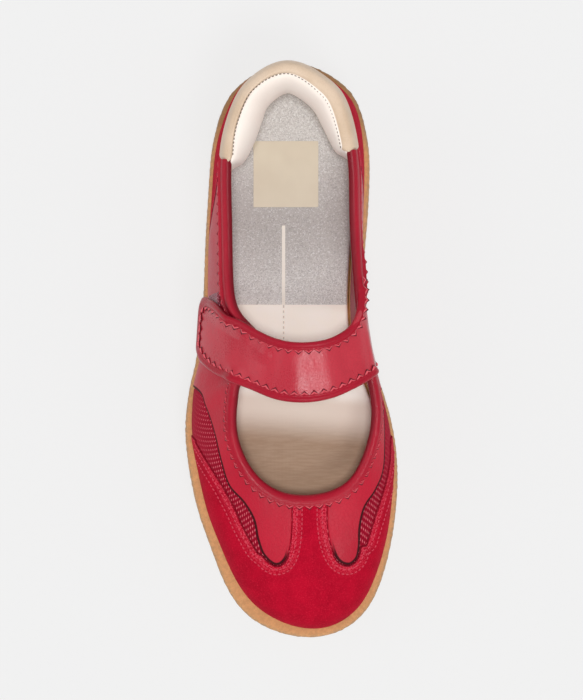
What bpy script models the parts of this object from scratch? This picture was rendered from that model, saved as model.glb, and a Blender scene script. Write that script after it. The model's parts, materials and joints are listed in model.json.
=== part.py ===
"""Low sneaker with an instep strap, right shoe, US women's 7, in metres.

The toe points along -Y and the heel along +Y, the inner (medial) side lies at +X, and the shoe
stands on z = 0. Round the shoe runs the ring parameter u, one step for each rib of RIBS: it starts
at the back of the heel, goes down the outer (lateral) side to the toe and comes back up the inner
side. Up a rib runs t, from 0 at the sole to 1 at the topline. Every piece of the upper is a slice
between two lifts of that one form.
"""

import math

import bmesh
import bpy
import numpy as np

MM = 0.001

# Driving dimensions
LENGTH = 262 * MM
BALL_WIDTH = 97.2 * MM
HEEL_HEIGHT = 78 * MM
INSTEP_HEIGHT = 78.8 * MM

WALL = 1.5 * MM
GAP = 0.3 * MM
LEATHER = 1.0 * MM
PATCH = 0.9 * MM
STRAP = 1.8 * MM
STRAP_ROOT = 1.0 * MM
INSOLE = 4.5 * MM
WELL = 3.0 * MM
BINDING = 0.8 * MM
BINDING_DEPTH = 3.0 * MM
BINDING_INSIDE = 2.4 * MM
OVERLAY_DROP = BINDING_DEPTH + 2 * GAP
TAB = 1.2 * MM
TAB_DEPTH = 13.0 * MM
TAB_END_DEPTH = 10.5 * MM
TAB_PADDING = 3.0 * MM
TAB_INSIDE = 8.0 * MM
ROLL_BASE = 0.8
ROLL_ROUND = 0.6
LEDGE_INSIDE = WALL + GAP
WELL_INSIDE = WALL + 3 * GAP
INSOLE_INSIDE = WALL + 4 * GAP
INSOLE_ROUND = 1.0 * MM
INSOLE_TAPER = 0.6 * MM

# Ribs of the form, heel to toe down the outer side and back up the inner side. rim and top are
# hundredths of the half length (y) and of the half ball width (x), top_z is a hundredth of the heel
# height, ledge is in mm, lean and fall are degrees, belly and crown are shares of the rib's chord.
RIB_COLUMNS = (
    "rim_x", "rim_y", "ledge", "top_x", "top_y", "top_z", "lean", "belly", "fall", "crown",
)
RIBS = {
    "heel": (-1.5, 100.0, 3.6, -4.0, 94.7, 100.0, 4, 0.38, 78, 0.30),
    "heel_outer_1": (-43.5, 93.9, 4.2, -32.5, 89.9, 99.0, 4, 0.38, 78, 0.30),
    "heel_outer_2": (-64.6, 84.3, 4.8, -47.7, 82.1, 97.0, 4, 0.38, 78, 0.30),
    "tab_end_outer": (-75.3, 69.7, 3.8, -58.6, 68.2, 91.5, 4, 0.37, 79, 0.31),
    "collar_outer_1": (-79.0, 53.4, 3.4, -60.1, 51.0, 85.5, 4, 0.36, 79, 0.32),
    "collar_outer_2": (-81.7, 35.5, 3.1, -59.2, 34.0, 81.3, 4, 0.36, 77, 0.32),
    "collar_outer_3": (-83.3, 19.0, 3.6, -57.8, 21.0, 81.5, 4, 0.36, 71, 0.32),
    "ear_rear": (-86.3, 7.5, 4.2, -50.4, 11.8, 84.8, 5, 0.36, 60, 0.30),
    "ear_upper": (-90.6, -3.6, 3.4, -32.5, 4.6, 88.0, 6, 0.36, 45, 0.28),
    "ear_tip": (-96.0, -12.4, 3.1, -24.5, -3.6, 88.8, 6, 0.36, 36, 0.28),
    "ear_front": (-99.5, -20.8, 3.6, -45.5, -9.2, 83.0, 5, 0.35, 44, 0.29),
    "throat_outer_1": (-100.6, -30.0, 4.2, -53.2, -15.6, 79.0, 4, 0.34, 54, 0.31),
    "throat_outer_2": (-97.4, -41.0, 5.2, -54.5, -24.2, 73.5, 3, 0.33, 47, 0.33),
    "throat_outer_3": (-89.2, -55.6, 5.6, -49.8, -33.4, 68.5, 2, 0.32, 36, 0.36),
    "throat_outer_4": (-74.4, -71.4, 6.0, -35.2, -43.0, 64.0, 1, 0.31, 22, 0.42),
    "throat_outer_5": (-44.4, -91.6, 7.2, -13.0, -49.0, 61.5, 1, 0.30, 12, 0.50),
    "toe": (14.5, -100.0, 5.6, 10.8, -50.5, 61.0, 1, 0.30, 9, 0.54),
    "throat_inner_5": (59.6, -94.5, 5.2, 32.9, -49.4, 61.5, 1, 0.30, 12, 0.50),
    "throat_inner_4": (82.0, -82.3, 4.9, 54.5, -44.8, 64.0, 2, 0.31, 26, 0.42),
    "throat_inner_3": (94.2, -65.5, 4.1, 69.8, -34.8, 68.5, 3, 0.33, 45, 0.36),
    "throat_inner_2": (99.1, -49.3, 3.8, 76.8, -24.0, 73.0, 4, 0.35, 60, 0.33),
    "throat_inner_1": (98.1, -35.6, 3.1, 75.3, -13.7, 78.0, 6, 0.36, 70, 0.31),
    "root_front": (90.5, -20.6, 3.6, 70.0, -5.0, 81.0, 6, 0.37, 75, 0.31),
    "root_middle": (76.5, -5.0, 4.6, 66.0, 3.4, 82.0, 7, 0.37, 78, 0.31),
    "root_rear": (67.4, 9.5, 4.5, 63.2, 12.6, 81.6, 9, 0.37, 80, 0.31),
    "collar_inner_3": (67.0, 27.0, 4.3, 59.9, 27.0, 80.6, 12, 0.37, 80, 0.31),
    "collar_inner_2": (70.4, 44.0, 4.3, 57.3, 43.5, 82.0, 8, 0.37, 80, 0.31),
    "collar_inner_1": (72.6, 59.2, 4.4, 56.5, 57.3, 86.0, 5, 0.37, 80, 0.31),
    "tab_end_inner": (71.2, 71.8, 4.2, 53.0, 69.5, 91.5, 4, 0.38, 79, 0.31),
    "heel_inner_2": (62.2, 85.0, 3.9, 42.4, 82.8, 97.0, 4, 0.38, 78, 0.30),
    "heel_inner_1": (41.5, 94.1, 5.4, 25.5, 90.1, 99.0, 4, 0.38, 78, 0.30),
}
COUNT = len(RIBS)
TOE = list(RIBS).index("toe")
RIB_SPREAD = 14 * MM

# Height of the sole's ledge and of its underside at each section along the shoe, in mm.
LEVEL_COLUMNS = ("along", "ledge", "floor")
LEVELS = (
    (-131.0, 25.5, 8.0),
    (-118.0, 22.8, 4.4),
    (-100.0, 20.9, 1.4),
    (-80.0, 20.1, 0.0),
    (-62.0, 20.0, 0.0),
    (-40.0, 20.7, 0.0),
    (-14.0, 22.1, 0.0),
    (4.0, 23.2, 2.0),
    (22.0, 24.4, 2.8),
    (40.0, 25.3, 2.0),
    (56.0, 25.9, 0.0),
    (90.0, 26.7, 0.0),
    (116.0, 27.4, 0.0),
    (131.0, 28.0, 2.2),
)

# Side of the sole from the tread to the ledge: inset from the rim in mm, share of the side's height.
SIDE_COLUMNS = ("inset", "rise")
SIDE = {
    "tread_edge": (4.4, 0.0),
    "tread_turn": (2.0, 0.10),
    "low_wall": (1.0, 0.32),
    "step_under": (0.7, 0.52),
    "step_low": (1.9, 0.56),
    "step_high": (1.9, 0.62),
    "band_low": (0.3, 0.66),
    "band_middle": (0.0, 0.80),
    "band_high": (0.2, 0.93),
    "lip": (1.2, 1.0),
}

# Grooves between the lugs: place along the shoe in mm and turn in degrees.
GROOVE_COLUMNS = ("along", "turn")
GROOVES = (
    (-96, 14), (-82, 14), (-54, 12), (-40, 12), (-26, 10), (60, -4), (74, -4), (102, -4),
)
GROOVE_WIDTH = 3.0 * MM
GROOVE_DEPTH = 2.0 * MM

# Edges of the overlays seen from above, in mm, front end last. Each lobe ends round at the toe.
LOBE_OUTER = (
    (-60.0, -11.0), (-43.0, -18.0), (-38.7, -25.5), (-34.8, -37.0), (-32.2, -48.7), (-28.6, -60.6),
    (-22.1, -68.2), (-17.6, -76.0), (-15.7, -85.0), (-12.9, -92.2), (-7.6, -96.6), (-3.2, -94.4),
    (-1.0, -87.5), (-0.2, -78.0), (-0.2, -66.0), (-0.2, -50.0),
)
LOBE_INNER = (
    (15.8, -50.0), (15.8, -66.0), (15.9, -78.0), (17.3, -87.0), (20.3, -94.2), (25.1, -96.6),
    (29.0, -93.8), (30.4, -88.0), (30.7, -79.5), (32.8, -70.5), (37.7, -62.6), (41.0, -53.5),
    (41.4, -40.0), (40.5, -26.5), (39.6, -18.0), (60.0, -6.0),
)
WING_OUTER = (
    (-60.0, -27.0), (-45.0, -39.2), (-43.2, -42.2), (-41.2, -45.4), (-37.9, -50.5), (-31.0, -61.2),
    (-25.8, -70.8), (-21.1, -81.0), (-15.5, -91.0),
)
WING_INNER = (
    (33.2, -88.0), (36.6, -76.5), (39.9, -66.2), (42.6, -57.0), (43.9, -49.0), (44.1, -42.5),
    (46.0, -37.6), (60.0, -30.0),
)
OUTER_TURN, INNER_TURN = 9, 7
CUTTER_END = 150.0
CUTTER_SIDE = 60.0

# Slanted front edge of the heel counter seen from the side, along and height in mm.
COUNTER_FRONT = ((44.0, 20.0), (84.5, 61.5))
COUNTER_TURN = math.radians(4.9)

# Places on the ring: ends of the heel tab and of the fastener's patch.
TAB_ENDS = (-3.22, 3.29)
TAB_CLEAR = 0.03
PATCH_ENDS = (6.08, 8.5)

# The strap's outer face: its rear and front edge at each station from the free end to the root,
# in mm, with heights in hundredths of the instep height.
STRAP_COLUMNS = ("rear_x", "rear_y", "rear_z", "front_x", "front_y", "front_z")
STRAP_STATIONS = (
    (-41.4, 21.3, 53.3, -42.8, -0.6, 49.5),
    (-39.6, 22.6, 60.3, -41.3, -4.2, 57.7),
    (-33.8, 19.1, 73.0, -36.0, -9.2, 69.2),
    (-24.0, 12.8, 86.9, -28.0, -13.1, 80.6),
    (-12.5, 6.6, 94.9, -17.5, -17.3, 89.2),
    (-3.8, 3.6, 98.7, -7.0, -21.4, 92.6),
    (5.0, 2.8, 100.0, 5.0, -22.7, 93.9),
    (14.8, 4.0, 99.0, 16.8, -21.0, 92.6),
    (22.5, 7.4, 95.8, 26.5, -17.0, 89.5),
    (29.3, 12.2, 90.5, 33.9, -13.0, 85.0),
    (33.0, 16.0, 83.1, 37.2, -9.8, 77.4),
    (33.6, 18.0, 72.3, 37.7, -7.8, 66.6),
    (33.2, 18.8, 60.9, 38.0, -7.0, 56.5),
)
STRAP_ACROSS = (0, 0.08, 0.3, 0.5, 0.7, 0.92, 1)
STRAP_ROUND = 0.25
TIP_SQUEEZE = 0.22
STRAP_THINS = (8.4, 10.2)
FREE_END_OVER = (5.0, 12.0)
ROOT_OVER = (20.0, 27.0)
ROLL_REACH = 2.3 * MM
ROOT_LIFT = GAP + LEATHER + GAP
END_LIFT = ROOT_LIFT + PATCH + 2 * GAP

# How finely the surfaces are divided
RIB_ROWS = 8
PATCH_ROWS = slice(3, 7)
SPAN_STEPS = 2
CLOSE_STEPS = 3
EDGE_STEPS = 2
ROLL_STEPS = 4
STRAP_STEPS = 27
SEARCH_STEPS = (60, 30)
ROLL_SEARCH = 400
SMALL = 1e-3


# Curves


def closed_curve(rows):
    """Smooth closed curve through the rows, one step of its parameter a row."""
    count = len(rows)
    unit = np.eye(count)
    system = 4 * unit + np.roll(unit, 1, axis=1) + np.roll(unit, -1, axis=1)
    slopes = np.linalg.solve(system, 3 * (np.roll(rows, -1, axis=0) - np.roll(rows, 1, axis=0)))

    def at(u):
        step = np.floor(u).astype(int)
        f = (u - step)[..., None]
        here, there = step % count, (step + 1) % count
        start = rows[here] * (1 + 2 * f) * (1 - f) ** 2 + slopes[here] * f * (1 - f) ** 2
        return start + rows[there] * f * f * (3 - 2 * f) - slopes[there] * f * f * (1 - f)

    return at


def open_curve(points, at):
    """Smooth open curve through the points: its place at each value of at, one step a point."""
    points = np.asarray(points, float)
    slopes = np.gradient(points, axis=0)
    step = np.clip(np.floor(at).astype(int), 0, len(points) - 2)
    f = (at - step)[..., None]
    start = points[step] * (1 + 2 * f) * (1 - f) ** 2 + slopes[step] * f * (1 - f) ** 2
    return start + points[step + 1] * f * f * (3 - 2 * f) - slopes[step + 1] * f * f * (1 - f)


def level(column, along):
    """Height of one column of LEVELS at a place along the shoe."""
    table = np.array(LEVELS) * MM
    x, y = table[:, 0], table[:, LEVEL_COLUMNS.index(column)]
    slopes = np.gradient(y, x)
    k = np.clip(np.searchsorted(x, along) - 1, 0, len(x) - 2)
    span = x[k + 1] - x[k]
    f = np.clip((along - x[k]) / span, 0, 1)
    flat = y[k] == y[k + 1]
    start = y[k] * (1 + 2 * f) * (1 - f) ** 2 + span * slopes[k] * f * (1 - f) ** 2
    smooth = start + y[k + 1] * f * f * (3 - 2 * f) - span * slopes[k + 1] * f * f * (1 - f)
    return np.where(flat, y[k], smooth)


# The form


def rib_values():
    """RIBS in metres, radians and shares of the chord."""
    table = np.array(list(RIBS.values()), float)
    half_width, half_length = BALL_WIDTH / 200, LENGTH / 200
    turn = math.radians(1)
    scale = (
        half_width, half_length, MM, half_width, half_length, HEEL_HEIGHT / 100, turn, 1, turn, 1,
    )
    return table * scale


RIB_CURVE = closed_curve(rib_values())


def rim(u, inset):
    """A point of the sole's outline, moved inwards by inset, and the way out there, as x and y."""
    along = RIB_CURVE(u + SMALL)[..., :2] - RIB_CURVE(u - SMALL)[..., :2]
    out = np.stack((along[..., 1], -along[..., 0]), axis=-1)
    out /= np.linalg.norm(out, axis=-1, keepdims=True)
    return RIB_CURVE(u)[..., :2] - out * np.asarray(inset)[..., None], out


def form_point(u, t):
    """A point of the form's outer face: each rib is a Bezier curve from the sole to the topline."""
    u, t = np.broadcast_arrays(np.asarray(u, float), np.asarray(t, float))
    row = dict(zip(RIB_COLUMNS, np.moveaxis(RIB_CURVE(u), -1, 0)))
    ground, out = rim(u, row["ledge"])
    foot = np.concatenate((ground, (level("ledge", ground[..., 1]) + GAP)[..., None]), axis=-1)
    top = np.stack((row["top_x"], row["top_y"], row["top_z"]), axis=-1)
    away = (foot - top)[..., :2] + RIB_SPREAD * out
    away /= np.linalg.norm(away, axis=-1, keepdims=True)
    chord = np.linalg.norm(top - foot, axis=-1)
    lean, fall = row["lean"], row["fall"]
    low = np.stack((out[..., 0] * np.sin(lean), out[..., 1] * np.sin(lean), np.cos(lean)), -1)
    high = np.stack((away[..., 0] * np.cos(fall), away[..., 1] * np.cos(fall), -np.sin(fall)), -1)
    low = foot + low * (chord * row["belly"])[..., None]
    high = top + high * (chord * row["crown"])[..., None]
    t = t[..., None]
    return foot * (1 - t) ** 3 + 3 * low * t * (1 - t) ** 2 + 3 * high * t * t * (1 - t) + top * t**3


def form_normal(u, t):
    """The form's outward normal."""
    u, t = np.broadcast_arrays(np.asarray(u, float), np.asarray(t, float))
    low, high = np.clip(t - SMALL, 0, 1), np.clip(t + SMALL, 0, 1)
    by_u = form_point(u + SMALL, t) - form_point(u - SMALL, t)
    by_t = form_point(u, high) - form_point(u, low)
    normal = np.cross(by_u, by_t)
    return normal / np.linalg.norm(normal, axis=-1, keepdims=True)


def form(u, t, lift):
    """A point of the form moved out by lift, never below the sole's ledge."""
    point = form_point(u, t) + form_normal(u, t) * np.asarray(lift)[..., None]
    lowest = level("ledge", point[..., 1]) + GAP
    point[..., 2] = np.maximum(point[..., 2], lowest)
    return point


def climb(u, share, drop):
    """t at a share of what drop leaves of the rib's length, measured from the sole."""
    u, share, drop = np.broadcast_arrays(np.asarray(u, float), share, drop)
    steps = np.linspace(0, 1, 41)
    line = form_point(u[..., None], steps)
    length = np.linalg.norm(np.diff(line, axis=-2), axis=-1)
    length = np.concatenate((np.zeros(u.shape + (1,)), np.cumsum(length, axis=-1)), axis=-1)
    goal = share * (length[..., -1] - drop)
    flat = zip(goal.ravel(), length.reshape(-1, len(steps)))
    return np.array([np.interp(g, line, steps) for g, line in flat]).reshape(u.shape)


# Meshes


def add_object(name, mesh, material, collection="shoe"):
    obj = bpy.data.objects.new(name, mesh)
    bpy.data.collections[collection].objects.link(obj)
    if material is not None:
        mesh.materials.append(material)
    return obj


def finish(name, colour, roughness):
    material = bpy.data.materials.new(name)
    material.use_nodes = True
    shader = material.node_tree.nodes["Principled BSDF"]
    shader.inputs["Base Color"].default_value = (*colour, 1)
    shader.inputs["Roughness"].default_value = roughness
    return material


def sweep(name, sections, closed, material):
    """Closed body through sections, each a closed loop of points in the same order.

    The second half of a loop runs back along the first, so its quads are split along the other
    diagonal, and the facets on both faces of a wall lie parallel.
    """
    sections = np.asarray(sections)
    count, size = sections.shape[:2]
    body = bmesh.new()
    rows = [[body.verts.new(point) for point in section] for section in sections]
    for k in range(count if closed else count - 1):
        here, there = rows[k], rows[(k + 1) % count]
        for i in range(size):
            j = (i + 1) % size
            start, end = (i, j) if i < size // 2 else (j, i)
            body.faces.new((here[start], here[end], there[end]))
            body.faces.new((here[start], there[end], there[start]))
    if not closed:
        body.faces.new(rows[0])
        body.faces.new(rows[-1][::-1])
    bmesh.ops.remove_doubles(body, verts=body.verts, dist=1e-6)
    bmesh.ops.dissolve_degenerate(body, edges=body.edges, dist=1e-6)
    bmesh.ops.recalc_face_normals(body, faces=body.faces)
    mesh = bpy.data.meshes.new(name)
    body.to_mesh(mesh)
    body.free()
    mesh.shade_smooth()
    mesh.set_sharp_from_angle(angle=math.radians(40))
    return add_object(name, mesh, material)


def whole_ring():
    """The columns that all pieces of the upper share, so that their facets lie parallel.

    They stand closer together round the toe and the heel.
    """
    even = np.arange(COUNT * SPAN_STEPS) / SPAN_STEPS
    extra = [
        place + (step + 0.5) / SPAN_STEPS
        for place in (0, TOE)
        for step in range(-CLOSE_STEPS, CLOSE_STEPS)
    ]
    return np.sort(np.append(even, np.array(extra) % COUNT))


def part_ring(start, stop):
    """The shared columns between start and stop, with one at each end."""
    columns = np.concatenate((whole_ring() - COUNT, whole_ring()))
    margin = 0.1 / SPAN_STEPS
    inside = columns[(columns > start + margin) & (columns < stop - margin)]
    return np.concatenate(([start], inside, [stop]))


def paired_ring():
    """Columns of the outer and the inner side that a section across the sole joins."""
    outer = part_ring(0, TOE)
    share = outer / TOE
    return zip(outer, COUNT + (TOE - COUNT) * share)


def rib_rows(u, drop):
    """t of the shared rows on each rib, from the sole to drop below the topline."""
    drop = np.broadcast_to(drop, u.shape)
    return climb(u[:, None], np.linspace(0, 1, RIB_ROWS)[None, :], drop[:, None])


def slice_of_form(name, u, t, inner, outer, closed, material):
    """The form's slice between two lifts: up the outer face, over the edge, down the inner one."""
    faces = [form(u[:, None], t, np.full(t.shape, lift)) for lift in (outer, inner)]
    return sweep(name, np.concatenate((faces[0], faces[1][:, ::-1]), axis=1), closed, material)


def cutter(name, outline, axis, low, high, turn=0.0):
    """Prism on an outline in the plane across an axis, from low to high along it."""
    body = bmesh.new()
    places = {
        "X": lambda a, b, c: (c, a, b),
        "Z": lambda a, b, c: (a, b, c),
    }[axis]
    base = body.faces.new([body.verts.new(places(a, b, low)) for a, b in outline])
    made = bmesh.ops.extrude_face_region(body, geom=[base])["geom"]
    shift = np.array(places(0, 0, high - low))
    moved = [v for v in made if isinstance(v, bmesh.types.BMVert)]
    bmesh.ops.translate(body, vec=shift, verts=moved)
    bmesh.ops.recalc_face_normals(body, faces=body.faces)
    mesh = bpy.data.meshes.new(name)
    body.to_mesh(mesh)
    body.free()
    obj = add_object(name, mesh, None, "cutters")
    obj.rotation_euler.z = turn
    obj.hide_render = True
    obj.display_type = "WIRE"
    return obj


def cut(obj, tool, operation):
    modifier = obj.modifiers.new(tool.name, "BOOLEAN")
    modifier.operation = operation
    modifier.object = tool
    return obj


def edge_line(points):
    """An overlay's edge in metres: a smooth curve through its points."""
    at = np.arange((len(points) - 1) * EDGE_STEPS + 1) / EDGE_STEPS
    return open_curve(np.array(points) * MM, at)


def widen(line, distance):
    """The line moved to its left by distance."""
    along = np.gradient(line, axis=0)
    left = np.stack((-along[:, 1], along[:, 0]), axis=1)
    return line + left / np.linalg.norm(left, axis=1, keepdims=True) * distance


# Pieces


def across_shoe(profile):
    """Sections from heel to toe, each the outer side's profile joined to the inner side's."""
    return [profile(outer) + profile(inner)[::-1] for outer, inner in paired_ring()]


def ledge_width(u):
    return RIB_CURVE(u)[RIB_COLUMNS.index("ledge")]


def sole_profile(u):
    """The cupsole's side from the tread to the ledge, then the wall of the insole's well."""
    u = np.array(u)
    profile = []
    for row in SIDE.values():
        side = dict(zip(SIDE_COLUMNS, row))
        ground, _ = rim(u, side["inset"] * MM)
        low, high = level("floor", ground[1]), level("ledge", ground[1])
        profile.append((*ground, low + side["rise"] * (high - low)))
    for inside, drop in ((LEDGE_INSIDE, 0), (WELL_INSIDE, WELL)):
        ground, _ = rim(u, ledge_width(u) + inside)
        profile.append((*ground, level("ledge", ground[1]) - drop))
    return profile


def make_outsole(material):
    obj = sweep("outsole", across_shoe(sole_profile), False, material)
    side, half = CUTTER_SIDE * MM, GROOVE_WIDTH / 2
    for number, row in enumerate(GROOVES, 1):
        groove = dict(zip(GROOVE_COLUMNS, row))
        rear, front = groove["along"] * MM + half, groove["along"] * MM - half
        outline = [
            (front, -GROOVE_DEPTH), (rear, -GROOVE_DEPTH), (rear, GROOVE_DEPTH), (front, GROOVE_DEPTH),
        ]
        turn = math.radians(groove["turn"])
        cut(obj, cutter(f"groove_{number}", outline, "X", -side, side, turn), "DIFFERENCE")
    return obj


def insole_profile(u):
    """The insole's edge from its underside to its top, with both corners eased."""
    u = np.array(u)
    profile = []
    for inside, rise in (
        (INSOLE_TAPER, 0), (0, INSOLE_ROUND), (0, INSOLE - INSOLE_ROUND), (INSOLE_ROUND, INSOLE),
    ):
        ground, _ = rim(u, ledge_width(u) + INSOLE_INSIDE + inside)
        profile.append((*ground, level("ledge", ground[1]) - WELL + GAP + rise))
    return profile


def make_insole(material):
    return sweep("insole", across_shoe(insole_profile), False, material)


def make_upper(material):
    u = whole_ring()
    t = np.concatenate((rib_rows(u, OVERLAY_DROP), np.ones((len(u), 1))), axis=1)
    return slice_of_form("upper", u, t, -WALL, 0.0, True, material)


def overlay(name, drop, material):
    """The whole slice of the form that an overlay is cut from."""
    u = whole_ring()
    return slice_of_form(name, u, rib_rows(u, drop), GAP, GAP + LEATHER, True, material)


def tab_depth(u):
    """How far the heel tab reaches down the outside: deepest at the back."""
    share = u / TAB_ENDS[1]
    return TAB_DEPTH + (TAB_END_DEPTH - TAB_DEPTH) * share**2


def edge_roll(name, u, depth, thick, padding, inside, material):
    """A roll over the topline: an outer leg of the given depth, a round top and an inner leg."""
    down = climb(u, 1.0, depth)
    inner_down = climb(u, 1.0, inside)
    top = np.ones_like(u)
    up = form_point(u, top) - form_point(u, top - SMALL)
    up /= np.linalg.norm(up, axis=-1, keepdims=True)
    near, far = GAP, GAP + thick
    back, far_back = -WALL - GAP, -WALL - GAP - padding

    def at(t, lift, rise=0.0):
        return form(u, t, np.full(u.shape, lift)) + up * rise

    middle = (far + far_back) / 2
    reach = (far - far_back) / 2
    crown = [
        at(top, middle + reach * math.cos(turn), ROLL_BASE * thick + ROLL_ROUND * reach * math.sin(turn))
        for turn in np.linspace(0, math.pi, ROLL_STEPS)
    ]
    points = [at(down, far), *crown, at(inner_down, far_back)]
    points += [at(inner_down, back), at(top, back, GAP), at(top, near, GAP), at(down, near)]
    return sweep(name, np.stack(points, axis=1), False, material)


def nearest_on_form(points, u_range):
    """u, t, height and offset of each point from the form, searched between two values of u."""
    columns, rows = (np.linspace(*span, steps) for span, steps in zip((u_range, (0, 1)), SEARCH_STEPS))
    u, t = (grid.ravel() for grid in np.meshgrid(columns, rows, indexing="ij"))
    nearest = np.argmin(np.linalg.norm(points[:, None] - form_point(u, t)[None], axis=-1), axis=1)
    u, t = u[nearest], t[nearest]
    most_u, most_t = columns[1] - columns[0], rows[1] - rows[0]
    for _ in range(5):
        here = form_point(u, t)
        by_u = (form_point(u + SMALL, t) - here) / SMALL
        by_t = (form_point(u, t + SMALL) - here) / SMALL
        gap = points - here
        a, b, c = ((p * q).sum(-1) for p, q in ((by_u, by_u), (by_u, by_t), (by_t, by_t)))
        d, e = (by_u * gap).sum(-1), (by_t * gap).sum(-1)
        scale = a * c - b * b
        u = np.clip(u + np.clip((c * d - b * e) / scale, -most_u, most_u), *u_range)
        t = np.clip(t + np.clip((a * e - b * d) / scale, -most_t, most_t), 0, 1)
    gap = points - form_point(u, t)
    return u, t, (gap * form_normal(u, t)).sum(-1), gap


def settle(points, thick, u_range, lift):
    """Points too near to the form, or to the rolled topline, are moved out for what lies below."""
    shape = points.shape
    points, thick = points.reshape(-1, 3).copy(), thick.ravel()
    lift = lift + thick
    u, t, height, gap = nearest_on_form(points, u_range)
    sideways = np.linalg.norm(gap - form_normal(u, t) * height[:, None], axis=-1)
    low = (height < lift) & (sideways < ROLL_REACH)
    points[low] += form_normal(u, t)[low] * (lift - height)[low, None]

    u = np.linspace(*u_range, ROLL_SEARCH)
    roll = form(u, np.ones_like(u), np.full(u.shape, -WALL / 2))
    gap = points[:, None] - roll[None]
    distance = np.linalg.norm(gap, axis=-1)
    nearest = np.argmin(distance, axis=1)
    every = np.arange(len(points))
    gap, distance = gap[every, nearest], distance[every, nearest]
    push = np.clip(ROLL_REACH + GAP + thick - distance, 0, None)
    points += gap / distance[:, None] * push[:, None]
    return points.reshape(shape)


def strap_thickness(along):
    """The strap thins towards its sewn root."""
    thin = np.clip((along - STRAP_THINS[0]) / (STRAP_THINS[1] - STRAP_THINS[0]), 0, 1)
    return STRAP + (STRAP_ROOT - STRAP) * thin * thin * (3 - 2 * thin)


def strap_face(along, across):
    """The strap's outer face: along counts stations from the free end, across goes rear to front."""
    height = INSTEP_HEIGHT / 100
    stations = open_curve(np.array(STRAP_STATIONS) * (MM, MM, height, MM, MM, height), along)
    row = dict(zip(STRAP_COLUMNS, np.moveaxis(stations, -1, 0)))
    rear, front = (
        np.stack([row[f"{edge}_{axis}"] for axis in "xyz"], axis=-1) for edge in ("rear", "front")
    )
    return rear + (front - rear) * across[..., None]


def make_strap(material):
    """The strap lies over the instep, off the form by what is under each end."""
    last = len(STRAP_STATIONS) - 1
    along, across = np.meshgrid(np.linspace(0, last, STRAP_STEPS), STRAP_ACROSS, indexing="ij")
    squeeze = TIP_SQUEEZE * np.clip(1 - along, 0, 1) ** 2
    face = strap_face(along, 0.5 + (across - 0.5) * (1 - squeeze))
    thick = strap_thickness(along)
    free, root = along[:, 0] < last / 2, along[:, 0] >= last / 2
    face[free] = settle(face[free], thick[free], FREE_END_OVER, END_LIFT)
    face[root] = settle(face[root], thick[root], ROOT_OVER, ROOT_LIFT)
    normal = np.cross(np.gradient(face, axis=0), np.gradient(face, axis=1))
    normal /= np.linalg.norm(normal, axis=-1, keepdims=True)
    normal *= np.sign(normal[STRAP_STEPS // 2, len(STRAP_ACROSS) // 2, 2])
    eased = (np.where(np.isin(across, (0, 1)), STRAP_ROUND, 0) * thick)[..., None]
    upper = face - normal * eased
    lower = face - normal * (thick[..., None] - eased)
    return sweep("strap", np.concatenate((upper, lower[:, ::-1]), axis=1), False, material)


def make_patch(material):
    u = part_ring(*PATCH_ENDS)
    t = rib_rows(u, OVERLAY_DROP)[:, PATCH_ROWS]
    return slice_of_form("fastener_patch", u, t, ROOT_LIFT, ROOT_LIFT + PATCH, False, material)


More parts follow.
